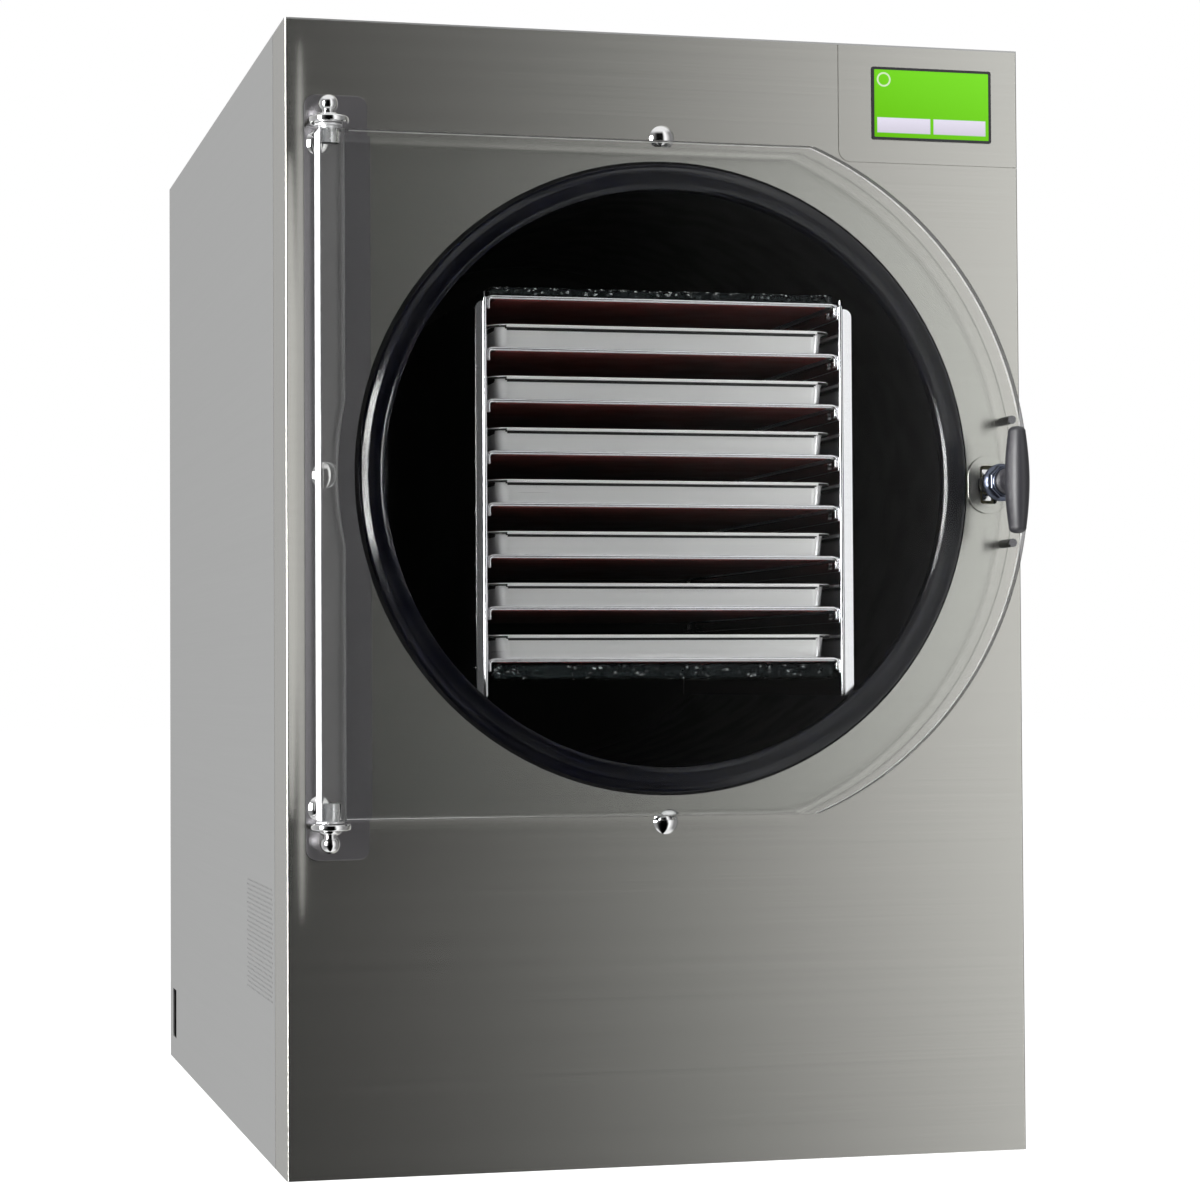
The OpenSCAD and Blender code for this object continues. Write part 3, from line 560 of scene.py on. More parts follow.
def build_finishes(scene):
    """One material for each of the record's slots, and those of worked edges and faces."""
    build_groups()
    front, side = tuple(scene.dryer_cabinet.front_colour), tuple(scene.dryer_cabinet.side_colour)
    roughness, grain = scene.dryer_cabinet.front_roughness, scene.dryer_cabinet.grain

    # Colour, roughness, cycles of the grain along each axis, strength of the grain
    brushed("cabinet_steel", front, roughness, (3, 3, 1500), grain, anisotropy=0.5)
    brushed("side_steel", side, 0.42, (3, 3, 900), 0.12, anisotropy=0.4)
    brushed("rack_steel", (0.93, 0.925, 0.95), 0.18, (4, 4, 1200), 0.15)
    brushed("tray_steel", (0.95, 0.945, 0.94), 0.28, (4, 4, 400), 0.1, bump=0.02, anisotropy=0.4, metal=0.5)
    # Near-black steel: painted shade in the fold under each tray's rim
    brushed("fold_steel", (0.05, 0.05, 0.05), 0.4, (4, 4, 400), 0.1, bump=0.02, anisotropy=0.7, metal=0.8)
    brushed("hinge_steel", (0.37, 0.36, 0.375), 0.26, (900, 900, 4), 0.15, turn=0.0)
    brushed("stainless_tube", (0.68, 0.68, 0.68), 0.25, (5, 900, 5), 0.2)

    # Colour, roughness, swing and scale of the marks
    plain_metal("base_zinc", (0.58, 0.59, 0.60), 0.42, 0.15, 60.0)
    plain_metal("inner_steel", (0.50, 0.52, 0.54), 0.45, 0.15, 40.0)
    plain_metal("polished_steel", (0.80, 0.80, 0.80), 0.09, 0.05, 60.0)
    plain_metal("bush_steel", (0.86, 0.86, 0.87), 0.28, 0.05, 60.0, metal=0.6)
    plain_metal("hub_steel", (0.12, 0.135, 0.18), 0.32, 0.05, 60.0)
    # Near-black steel: painted shade on the hinge plate's left edge and on the walls of the strike's slot
    plain_metal("cut_edge", (0.06, 0.06, 0.062), 0.5, 0.08, 90.0)
    plain_metal("stud_steel", (0.20, 0.20, 0.21), 0.28, 0.08, 90.0)
    plain_metal("copper", (0.75, 0.40, 0.25), 0.3, 0.15, 25.0)
    plain_metal("valve_brass", (0.78, 0.60, 0.30), 0.25, 0.1, 70.0)

    # Colour, roughness, scale and swing of the speckle
    moulded("bezel_black", (0.012, 0.012, 0.014), 0.2, 1500.0, 0.1, bump=0.02)
    moulded("board_green", (0.03, 0.16, 0.06), 0.4, 300.0, 0.3)
    moulded("chamber_black", (0.006, 0.006, 0.007), 0.6, 1400.0, 0.2, bump=0.02, specular=0.2)
    moulded("gasket_rubber", (0.0018, 0.0022, 0.006), 0.2, 1100.0, 0.2, bump=0.02, specular=0.42)
    moulded("foam", (0.80, 0.74, 0.52), 0.9, 350.0, 0.25, bump=0.5)
    moulded("compressor_black", (0.02, 0.02, 0.022), 0.3, 700.0, 0.2, bump=0.1)
    moulded("foot_rubber", (0.03, 0.03, 0.03), 0.75, 900.0, 0.2)
    moulded("fan_grey", (0.12, 0.12, 0.13), 0.45, 900.0, 0.15)
    moulded("black_plastic", (0.02, 0.02, 0.02), 0.35, 900.0, 0.15)
    moulded("lever_red", (0.42, 0.02, 0.015), 0.35, 700.0, 0.1)
    moulded("heater_red", (0.16, 0.022, 0.018), 0.5, 500.0, 0.2)
    moulded("handle_grey", tuple(scene.dryer_latch.grip_colour), 0.52, 1300.0, 0.08, bump=0.04, specular=0.9)
    foil_finish()
    door_finish(scene)
    wall_finishes()
    screen_finish(scene.dryer_screen)


def foil_finish():
    """Crinkled foil: cells of differing tilt, painted mostly near-black as shade with bright cells as painted glints,
    and a painted highlight that adds more glints on the crest of the upper board.
    """
    n, shader = new_finish("foil", Metallic=1.0)
    where = n.stretched((1, 1, 1.6))
    cells = n.cells(where, 330)
    shade = n.split(cells["Color"])[0]
    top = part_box("foil_sheets")[1].z
    # Painted highlight: more glints towards the crest of the upper board
    crest = n.remap(n.split(n.here())[2], top - 0.0035, top - 0.0005, 0.0, 0.5)
    painted_glint = n.remap(n.plus(shade, crest), 0.90, 1.05, smooth=True)
    # Painted shade: the foil's cells mostly near-black, with bright painted glints among them
    painted_dark_cells = n.mix(shade, (0.008, 0.012, 0.013), (0.04, 0.048, 0.05))
    n.join(n.mix(painted_glint, painted_dark_cells, (0.75, 0.77, 0.78)), shader.inputs["Base Color"])
    folds = n.noise(where, 70, 4, 0.6)
    n.join(n.remap(folds, 0.3, 0.7, 0.12, 0.3), shader.inputs["Roughness"])
    raise_height(n, shader, n.plus(cells["Distance"], folds), 0.9, 0.002)


ACRYLIC = {"IOR": 1.49, "Metallic": 0.0, "Specular_Tint": (0.15, 0.15, 0.15)}


def door_finish(scene):
    """Clear acrylic with faint wiping marks. Along the door's outer edges a margin of each large face lets light
    straight through, so that no dark band is seen in the thickness: the front face on the way in and the rear face on
    the way back out. Its width is the distance that a ray from the camera moves sideways in the slab."""
    n, shader = new_finish("door_acrylic", Base_Color=(0.985, 0.995, 0.99), Transmission_Weight=1.0, **ACRYLIC)
    mark_gloss(n, shader, 7.0, 0.012, 0.012)
    low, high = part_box("door_panel")
    camera = scene.dryer_stage.camera_place
    bent = 0.82  # a bent ray's way sideways as a share of a straight one's
    reach = bent * (high.y - low.y) / (FACE - camera[1])
    x, y, z = n.split(n.here())
    across, up = n.minus(x, high.x - DOOR_RADIUS), n.minus(z, (low.z + high.z) / 2)
    away = n.distance(across, up)
    aside, lift = n.times(n.minus(x, camera[0]), reach), n.times(n.minus(z, camera[2]), reach)
    outward = n.math("DIVIDE", n.plus(n.times(aside, across), n.times(lift, up)), away)
    right_half = n.above(across, 0.1)
    round_margin = n.times(n.above(n.plus(away, outward), DOOR_RADIUS), right_half)
    shown = n.plus(z, lift)
    margin = n.most(round_margin, n.most(n.above(shown, high.z), n.below(shown, low.z)))
    margin = n.times(margin, n.above(x, scene.dryer_door.rabbet_edge))
    returned = n.above(n.add("LightPath").outputs["Glossy Depth"], 0.5)
    entering = n.times(n.below(y, low.y + 0.0001), n.minus(1.0, returned))
    leaving = n.times(n.above(y, high.y - 0.0001), returned)
    n.join(n.minus(1.0, n.times(margin, n.plus(entering, leaving))), shader.inputs["Alpha"])


def wall_finishes():
    """The door's worked faces: sawn edge, polished walls with their painted dark and light lines, and milled step."""
    # The sawn edge is bright to the eye but dim where the brushed front mirrors it
    n, shader = new_finish("sawn_edge")
    speckle = n.use("speckle", Scale=260.0, Colour=(0.62, 0.62, 0.635, 1), Swing=0.3)
    outside = n.minus(1.0, n.add("NewGeometry").outputs["Backfacing"])
    mirrored = n.times(n.add("LightPath").outputs["Is Glossy Ray"], outside)
    n.join(n.mix(n.times(mirrored, 0.85), speckle["Colour"], (0.02, 0.02, 0.02)), shader.inputs["Base Color"])
    mark_gloss(n, shader, 25.0, 0.45, 0.12)
    raise_height(n, shader, speckle["Height"], 0.25)
    # Little is seen of the polished walls but a faint painted sheen, and near the front a painted dark line and a
    # painted light one beside it, which stand in for reflections in the door's edge
    for name, paint, alpha, roughness in (
        ("polished_wall", (0.70, 0.72, 0.70), 0.04, 0.2),
        ("edge_dark", (0.04, 0.04, 0.045), 0.7, 0.3),
        ("edge_light", (0.95, 0.95, 0.93), 0.8, 0.3),
    ):
        mark_gloss(*new_finish(name, Base_Color=paint, Alpha=alpha), 12.0, roughness, 0.08)
    # The milled face of the step is slightly hazy
    milled = new_finish("milled_face", Base_Color=(0.97, 0.97, 0.95), Transmission_Weight=0.90, **ACRYLIC)
    mark_gloss(*milled, 12.0, 0.16, 0.08)


def screen_finish(screen):
    """Lit display: green field that pales towards one corner, a ring at the upper left and two blank buttons. Each
    mark is a step on the distance from its own middle."""
    low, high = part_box("touch_screen")
    width, height = high.x - low.x, high.z - low.z
    n, shader = new_finish("screen_green", Emission_Strength=screen.glow, Specular_IOR_Level=0.15)
    mark_gloss(n, shader, 40.0, 0.12, 0.06)
    x, _, z = n.split(n.here())
    u, v = n.remap(x, low.x, high.x), n.remap(z, low.z, high.z)
    lit, pale = tuple(screen.lit_colour), tuple(screen.button_colour)
    shade = n.plus(n.times(u, 0.35), n.times(v, 0.65))
    field = n.mix(shade, tuple(c * 0.80 for c in lit), tuple(min(1.0, c * 1.12 + 0.02) for c in lit))
    away = n.distance(n.times(n.minus(u, 0.085), width), n.times(n.minus(v, 0.855), height))
    from_line = n.math("ABSOLUTE", n.minus(away, 0.0062))
    made = n.mix(n.remap(from_line, 0.0006, 0.0011, 0.9, 0.0, smooth=True), field, (0.75, 0.9, 0.6))
    for left, right in ((0.025, 0.49), (0.515, 0.975)):
        across = n.minus(n.math("ABSOLUTE", n.minus(u, (left + right) / 2)), (right - left) / 2)
        up = n.minus(n.math("ABSOLUTE", n.minus(v, 0.18)), 0.115)
        button = n.remap(n.most(n.times(across, width), n.times(up, height)), -0.0005, 0.0001, 1.0, 0.0)
        made = n.mix(button, made, n.mix(n.remap(v, 0.06, 0.3), tuple(c * 0.8 for c in pale), pale))
    n.join(n.scale(made, 0.12), shader.inputs["Base Color"])
    n.join(made, shader.inputs["Emission Color"])


# ---- pieces --------------------------------------------------------------------------------


def dress_packed(scene):
    """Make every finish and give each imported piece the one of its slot."""
    build_finishes(scene)
    for part in frame["record"]["subparts"]:
        materials = frame["nodes"][part["node"]].data.materials
        materials.clear()
        materials.append(FINISHES[part["material_slot"]])


def build_door(scene):
    """Clear slab: its outline carried from the front to the step, and the part right of the step on to the back."""
    door = scene.dryer_door
    low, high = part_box("door_panel")
    left, bottom, top, front, back = low.x, low.z, high.z, low.y, high.y
    step_x, step_y = door.rabbet_edge, back - door.rabbet
    half, centre = (top - bottom) / 2, (high.x - DOOR_RADIUS, (bottom + top) / 2)

    def outer(inset):
        """Round edge from the top to the bottom straight edge, with the radius less the inset."""
        radius = DOOR_RADIUS - inset
        limit = math.asin((half - inset) / radius)
        return arc(centre, radius, np.linspace(limit, -limit, door.arc_steps))

    def whole(inset):
        ends = [(left + inset, bottom + inset), (left + inset, top - inset), (step_x, top - inset)]
        return np.concatenate([ends, outer(inset), [(step_x, bottom + inset)]])

    # Edge of the step, downwards: straight, round the chamber, straight
    reach = math.acos((CHAMBER_X - step_x) / door.rabbet_radius)
    bulge = arc((CHAMBER_X, CHAMBER_Z), door.rabbet_radius, np.linspace(math.pi - reach, math.pi + reach, 41))

    def rear(inset):
        return np.concatenate([[(step_x, top - inset)], outer(inset), [(step_x, bottom + inset)], bulge[::-1]])

    shell = Shell()
    # One more line just inside each rounded edge keeps the faces optically flat
    inner = door.edge + 0.0004
    edge = rounding(door.edge, 4)
    levels = [front + door.edge, front + DARK_LINE, front + LIGHT_LINE, step_y]
    rings = [upright(whole(inner), front)] + [upright(whole(inset), front + depth) for inset, depth in edge]
    rings += [upright(whole(0), level) for level in levels[1:]]
    # The top and bottom squares beside the hinge carry the bores of the bushes
    rows, columns = len(rings) - 1, len(rings[0])
    bored = [(rows - k) * columns + side for k in (1, 2, 3) for side in (1, columns - 1)]
    shell.grid(np.stack(rings), close_v=True, leave_out=bored)
    rings = [upright(rear(inset), back - depth) for inset, depth in edge[::-1]]
    shell.grid(np.stack([upright(rear(0), step_y), *rings, upright(rear(inner), back)]), close_v=True)
    strip = np.concatenate([[(left, bottom), (left, top), (step_x, top)], bulge, [(step_x, bottom)]])
    shell.flat([upright(strip, step_y)])

    lowest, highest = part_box("door_studs")
    studs = [(middle("door_studs").x, z) for z in (lowest.z + STUD_RADIUS, highest.z - STUD_RADIUS)]
    holes = [arc((LATCH_X, LATCH_Z), HUB_BORE, turns(48))] + [arc(stud, STUD_BORE, turns(48)) for stud in studs]
    shell.flat([upright(ring, front) for ring in (whole(inner), *holes)])
    shell.flat([upright(ring, back) for ring in (rear(inner), *holes)])
    for ring in holes:
        shell.grid(np.stack([upright(ring, front), upright(ring, back)]), close_v=True)
    for z, depth in ((top, BUSH_DEPTHS[0]), (bottom, -BUSH_DEPTHS[1])):
        bore = [
            np.insert(arc((PIN_X, PIN_Y), radius, turns(64)), 2, height, axis=1)
            for radius, height in ((BUSH_BORE, z), (BUSH_BORE, z - depth), (0.0, z - depth))
        ]
        corners = [(left, level, z) for level in levels] + [(step_x, level, z) for level in levels[::-1]]
        shell.flat([np.array(corners), bore[0]])
        shell.grid(np.stack(bore), close_v=True)

    def worked(middles, normals):
        x, y, z = middles.T
        straight = abs(z - centre[1]) > half - 1e-4
        rounded = np.hypot(x - centre[0], z - centre[1]) > DOOR_RADIUS - 1e-4
        wall = (abs(normals[:, 1]) < 0.05) & (x > step_x + 0.001) & (straight | rounded)
        hinge_side = (normals[:, 0] < -0.99) & (x < left + 1e-4)
        left_of_bores = x < -0.2
        step_wall = (normals[:, 0] < -0.3) & (y > step_y + 1e-4) & left_of_bores
        yield "sawn_edge", hinge_side | step_wall
        yield "polished_wall", wall
        # Painted reflection lines near the front of the polished walls
        yield "edge_light", wall & (y < levels[2])
        yield "edge_dark", wall & (y < levels[1])
        yield "milled_face", (normals[:, 1] > 0.9) & (abs(y - step_y) < 1e-4)

    shell.piece("clear_door", "door_acrylic", "door", ["door_panel"], sharp=28, worked=worked)


def build_gasket(scene):
    """Sealing ring, a profile turned about the chamber's axis: from the mouth of the chamber up the inner slope, over
    a crest and down, across the flat, and down the wide outer slope to the lip. Its radii and heights are in mm."""
    low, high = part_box("door_gasket")
    lip = (high.x - low.x) / 2 - 0.0018
    inner, mouth, seat = 0.2722, 0.2758, 0.0015
    front, back = low.y - FACE, high.y - FACE
    crest = [(272.7, 1.7), (274.8, 0.3), (275.1, 0), (275.4, 0.1), (276.3, 0.7), (277.2, 1.3), (277.7, 1.4)]
    flat = [(286.5, 0.8), (287.2, 0.8), (287.9, 1.0)]
    slope = [(288.8, 1.6), (290.0, 2.4), (291.2, 3.3), (292.4, 4.2), (293.5, 5.1), (294.0, 5.3)]
    face = [(radius / 1000, front + height / 1000) for radius, height in crest + flat + slope]
    ends = [(lip - 0.0004, front + 0.0054), (lip, front + 0.0057), (lip, seat), (mouth, seat), (mouth, back)]
    loop = [(inner, back), (inner, front + 0.0024), *face, *ends]
    shell = Shell()
    shell.turned((CHAMBER_X + 0.0017, FACE, CHAMBER_Z), "y", loop, 360, closed=True)
    shell.piece("sealing_ring", "gasket_rubber", "cabinet", ["door_gasket"], sharp=24)


def build_fixings(scene):
    """Dome bolts, ball-headed hinge pins and the door's bushes, all turned profiles of (radius, height)."""
    low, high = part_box("dome_bolts")
    left = low.x + BOLT_RADIUS
    # Two on the front, above and below the door, and three on the hinge plate, the middle one a little further right
    seats = [(0.0, high.z - BOLT_RADIUS, 0.0), (0.0, low.z + BOLT_RADIUS, 0.0)]
    seats += [(left + 0.0044, 0.646, -PLATE), (left, 0.954, -PLATE), (left, 0.340, -PLATE)]
    dome = [(r, -h) for r, h in ball_cap(BOLT_RADIUS, 0.005)][::-1]
    shell = Shell()
    shank, flats = 0.005, 0.0085
    for x, z, seat in seats:
        nut = 0.008 - 2 * seat
        nut_end, end = nut + 0.006, nut + 0.007
        line = dome + [(BOLT_RADIUS - 0.0003, 0.0), (shank, 0.0), (shank, nut), (flats, nut, 1), (flats, nut_end, 1)]
        line += [(shank, nut_end), (shank, end), (0.0, end)]
        shell.turned((x, FACE + seat, z), "y", line, 60, sides=6)
    shell.piece("round_head_bolts", "polished_steel", "cabinet", ["dome_bolts"])

    ball = [(0.009 * math.sin(a), 0.0125 + 0.009 * math.cos(a)) for a in np.linspace(0, 2.44, 36)]
    flare = [(0.0064, 0.0051), (0.0074, 0.0042), (0.0089, 0.0034), (0.0100, 0.0022), (0.0105, 0.0009), (0.0104, 0)]
    head = [(r, EAR + h) for r, h in ball + flare]
    shank = [(PIN_RADIUS, EAR), (PIN_RADIUS, -0.016), (0.004, -0.017), (0.0, -0.017)]
    shell = Shell()
    for z, way in zip(EAR_FACES, (1, -1)):
        shell.turned((PIN_X, PIN_Y, z), "z", [(r, way * h) for r, h in head + shank], 72)
    shell.piece("ball_head_pins", "polished_steel", "cabinet", ["hinge_pins"], sharp=40)

    low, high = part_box("door_bushings")
    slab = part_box("door_panel")
    tube, bore, flange = 0.009, PIN_RADIUS + 0.00005, 0.013
    shell = Shell()
    for z, way, lift, depth in (
        (slab[1].z, 1, high.z - slab[1].z, BUSH_DEPTHS[0]), (slab[0].z, -1, slab[0].z - low.z, BUSH_DEPTHS[1])
    ):
        rim = lift - 0.002
        line = [
            (bore, -depth), (tube, -depth), (tube, rim), (flange - 0.0004, rim), (flange, rim + 0.0004),
            (flange, lift - 0.0004), (flange - 0.0004, lift), (0.0056, lift), (bore, lift - 0.0005),
        ]
        shell.turned((PIN_X, PIN_Y, z), "z", [(r, way * h) for r, h in line], 96, closed=True)
    shell.piece("door_bushes", "bush_steel", "door", ["door_bushings"])


def build_latch(scene):
    """Turned hub with an eight-sided body, and the spindle-like grip on its stem. Profiles are (radius, distance in
    front of the slab or the hub) in mm."""
    latch = scene.dryer_latch
    front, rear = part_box("door_panel")[0].y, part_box("door_panel")[1].y
    hub = [
        (11, 0), (17.6, 0), (18, 0.4), (18, 2.8), (17.2, 4.2), (15.5, 6), (15.8, 6.4, 1), (16.5, 7.2, 1),
        (16.5, 14.2, 1), (15.7, 15, 1), (14, 15), (14, 16.5), (13.5, 17), (6.08, 17),
    ]
    line = [(0.00608, rear), (0.011, rear)] + [(r / 1000, front - h / 1000, *flat) for r, h, *flat in hub]
    shell = Shell()
    shell.turned((LATCH_X, 0, LATCH_Z), "y", line, 192, closed=True, sides=8)
    shell.piece("hub", "hub_steel", "door", ["latch_hub"], sharp=25)

    low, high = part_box("door_handle")
    stem = front - 0.0174
    collar = [
        (6, 0), (12.1, 0), (12.5, 0.4), (12.5, 3.6), (12.1, 4), (10.8, 5.2), (10, 7.5), (9.8, 10.5), (10.2, 13.5),
        (10.6, 16), (0, 20),
    ]
    line = [(0.0, high.y), (0.006, high.y)] + [(r / 1000, stem - h / 1000) for r, h in collar]
    shell = Shell()
    shell.turned((LATCH_X, 0, LATCH_Z), "y", line, 96)
    # Grip: at height z the cross-section is an ellipse. Its half width is thin + (thick - thin) (1 - (|z| / half)^1.9),
    # its half depth is 2.6 mm more, and beyond half both close by (1 - (beyond / end)^2.4)^(1 / 2.4).
    half, end, power = latch.grip_half, 0.0063, 2.4
    cap = end * np.sin(np.linspace(-math.pi / 2, math.pi / 2, 25))
    up = np.concatenate([-half + cap[:13], np.linspace(-half, half, 41)[1:-1], half + cap[12:]])
    swell = 1 - np.clip(np.abs(up) / half, 0, 1) ** 1.9
    beyond = np.clip(np.abs(up) - half, 0, None) / end
    close = np.clip(1 - beyond**power, 0, 1) ** (1 / power)
    width = latch.grip_thin + (latch.grip_thick - latch.grip_thin) * swell
    wide, deep = width * close, (width + 0.0026) * close
    centre = low.y + 0.0058 + latch.grip_thick
    t = turns(72)
    across, along = LATCH_X + wide[:, None] * np.cos(t), centre + deep[:, None] * np.sin(t)
    shell.grid(np.stack([across, along, LATCH_Z + np.repeat(up[:, None], len(t), 1)], -1), close_v=True)
    shell.piece("grip", "handle_grey", "handle", ["door_handle"], sharp=45)


def build_hinge(scene):
    """Hinge plate cut back round the ring, its two round-nosed ears, and the strike plate of the latch."""

    def face(points, level):
        return upright(points, FACE + level)

    low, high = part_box("hinge_plate")
    left_edge, right, clear = -0.32, -0.2835, 0.2988  # clear is the radius it is cut back to
    reach = math.asin(math.sqrt(clear**2 - right**2) / clear)
    cut = arc((0, CHAMBER_Z), clear, np.linspace(math.pi + reach, math.pi - reach, 41))
    outline = np.concatenate([rounded_box((low.x, low.z), (right, high.z), 0.010, 9), cut])
    shell = Shell()
    shell.slab(outline, face, [(0.00025, -PLATE), (0, 0.00025 - PLATE), (0, 0)])
    # The plate's left edge is painted near-black as shade
    shell.piece(
        "hinge_leaf", "hinge_steel", "cabinet", ["hinge_plate"], sharp=35,
        worked=lambda middles, normals: [("cut_edge", (normals[:, 1] > -0.9) & (middles[:, 0] < left_edge))],
    )

    nose_y, root_y = FACE - 0.0315, FACE - 0.0025
    nose = arc((PIN_X, nose_y), EAR_NOSE, np.linspace(-math.pi, 0, 49))
    outline = np.concatenate([nose, [(PIN_X + EAR_NOSE, root_y), (PIN_X - EAR_NOSE, root_y)]])
    edge = [*rounding(0.0016, 5), *((inset, EAR - depth) for inset, depth in rounding(0.0022, 6)[::-1])]
    shell = Shell()
    for z, way in zip(EAR_FACES, (1, -1)):
        profile = [(inset, z + way * depth) for inset, depth in edge][::way]
        shell.slab(outline, lambda points, level: np.insert(points, 2, level, axis=1), profile)
    shell.piece("hinge_ears", "polished_steel", "cabinet", ["hinge_plate"], sharp=35)

    low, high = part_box("strike_plate")
    slot_x, slot_z, thick = 0.0085, 0.0185, 0.0025
    outline = rounded_box((low.x, low.z), (high.x, high.z), 0.0209, 24)
    slot = rounded_box((LATCH_X - slot_x, LATCH_Z - slot_z), (LATCH_X + slot_x, LATCH_Z + slot_z), 0.003, 8)
    towards_middle = unit((LATCH_X, LATCH_Z) - outline)
    rings = [face(outline + towards_middle * inset, -level) for inset, level in ((0, 0), (0, 0.0022), (0.0003, thick))]
    shell = Shell()
    shell.grid(np.stack(rings), close_v=True)
    shell.flat([rings[-1], face(slot, -thick)])
    shell.flat([rings[0], face(slot, 0.0)])
    shell.grid(np.stack([face(slot, -thick), face(slot, 0.0)]), close_v=True)

    def slot_wall(middles, normals):
        x, _, z = abs(middles - (LATCH_X, 0, LATCH_Z)).T
        # The slot's walls are painted near-black as shade
        yield "cut_edge", (abs(normals[:, 1]) < 0.9) & (x < slot_x + 0.0003) & (z < slot_z + 0.0003)

    shell.piece(
        "latch_strike", "cabinet_steel", "cabinet", ["strike_plate"], sharp=35, worked=slot_wall
    )


def build_rack(scene):
    """Two uprights, each a side sheet, a front flange with its bead and a rear flange, and the front hem of every
    shelf."""
    for side, name, width, lean, bead in (
        (-1, "rack_side_left", 0.183, 0.01, 0.1741), (1, "rack_side_right", 0.186, 0.03, 0.1745)
    ):
        low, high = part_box(name)
        front, back = FACE + 0.0085, high.y
        crown, corner = 0.812, 0.008  # top of the front flange, and radius of its corners

        def stand(points, level):
            """Outline in depth and height, at a distance across."""
            return np.insert(points, 0, side * level, axis=1)

        def face(points, level):
            """Outline across and in height, at a depth that grows a little outwards."""
            return np.stack([side * points[:, 0], level + lean * (points[:, 0] - RACK_HALF), points[:, 1]], -1)

        shell = Shell()
        sheet = np.array([(front, low.z), (back, low.z), (back, high.z), (front, high.z)])
        outside = RACK_HALF + RACK_SHEET
        shell.slab(
            sheet, stand,
            [(0.0003, RACK_HALF), (0, RACK_HALF + 0.0003), (0, outside - 0.0003), (0.0003, outside)],
        )
        quarter = np.linspace(0, math.pi / 2, 9)
        foot = arc((width - corner, low.z + corner), corner, quarter - math.pi / 2)
        ends = arc((width - corner, crown - corner), corner, quarter)
        flange = np.concatenate([[(RACK_HALF, low.z)], foot, ends, [(RACK_HALF, crown)]])
        shell.slab(flange, face, [(0.0005, front), (0, front + 0.0005), (0, front + RACK_SHEET)])
        rear = np.array([(RACK_HALF, low.z), (width, low.z), (width, high.z), (RACK_HALF, high.z)])
        rear_face = back - lean * 0.01
        shell.slab(rear, face, [(0, rear_face - RACK_SHEET), (0, rear_face)])
        # Bead along the front corner, and rolled top edge
        x, y = side * bead, FACE + 0.0087
        shell.tube(np.linspace((x, y, low.z + 0.0022), (x, y, crown + 0.0015), 12), 0.0022, 20)
        x, z = side * (RACK_HALF + 0.0012), high.z - 0.0014
        shell.tube(np.linspace((x, front + 0.002, z), (x, back - 0.002, z), 12), 0.0014, 16)
        shell.piece(name.replace("rack_side", "upright"), "rack_steel", "cabinet", [name], sharp=40)

    shell = Shell()
    for i in range(1, 9):
        low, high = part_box(f"shelf_{i}")
        half, top, bend = high.x - 0.0036, high.z - 0.0006, 0.004
        right = arc((half - bend, top - bend), bend, np.linspace(0, math.pi / 2, 9))
        line = np.concatenate([[(half, top - 0.0095)], right, right[::-1] * (-1, 1), [(-half, top - 0.0095)]])
        shell.tube(upright(line, low.y + 0.0008), 0.0018, 14)
    shell.piece("shelf_hems", "rack_steel", "cabinet", [], sharp=60)


def build_trays(scene):
    """Seven pressed trays. Each profile point is (push, height): the outline of the tray's wall pushed outwards by
    that much, from the base up outside, over the rolled rim and down inside."""
    rack = scene.dryer_rack
    rim, taper, wall = rack.tray_rim, rack.tray_taper, rack.tray_wall
    corner_radius = 0.014
    for name in [f"tray_{i}" for i in range(1, 8)]:
        low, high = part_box(name)
        centre = (low + high) / 2
        half_x, half_y = (high.x - low.x) / 2 - rim, (high.y - low.y) / 2 - rim
        height = high.z - low.z
        base_edge = arc((-taper - 0.003, 0.003), 0.003, np.linspace(3, 4, 6) * math.pi / 2)
        outside = [(-taper - 0.008, 0.0), *base_edge]
        # Below, pushes and distances down from the top of the rim
        shoulder = [
            (-0.0005, 0.0052), (-0.0001, 0.0038), (0.0004, 0.0024), (0.0012, 0.0017), (rim - 0.0014, 0.0015),
            (rim - 0.0010, 0.0029), (rim - 0.0003, 0.0030), (rim, 0.0026), (rim, 0.0010), (rim - 0.0003, 0.0003),
            (rim - 0.0010, 0), (0.0008, 0), (-0.0003, 0.0004), (-0.0009, 0.0014), (-0.0004 - wall, 0.0032),
        ]
        inside = -taper - wall
        floor = [(inside, 0.0038), (inside - 0.0012, 0.0018), (inside - 0.003, wall), (-taper - 0.012, wall)]
        profile = np.array([*outside, *((push, height - down) for push, down in shoulder), *floor])
        corner, way = round_corners(half_x, half_y, corner_radius)
        ring = corner[None] + (corner_radius + profile[:, :1, None]) * way[None]
        levels = np.repeat(low.z + profile[:, 1, None, None], len(way), 1)
        grid = np.concatenate([ring + (centre.x, centre.y), levels], -1)

        def dark_fold(middles, normals):
            """Faces in the fold under the rim, which are painted near-black as shade."""
            x, y, z = (middles - (centre.x, centre.y, low.z + height)).T
            push = np.maximum(abs(x) - half_x, abs(y) - half_y)
            yield "fold_steel", (z > -0.0053) & (z < -0.0016) & (push > -0.0007) & (push < rim - 0.0006)

        shell = Shell()
        shell.grid(grid, close_v=True)
        shell.flat([grid[0]])
        shell.flat([grid[-1]])
        shell.piece("pressed_" + name, "tray_steel", "cabinet", [name], sharp=38, worked=dark_fold)


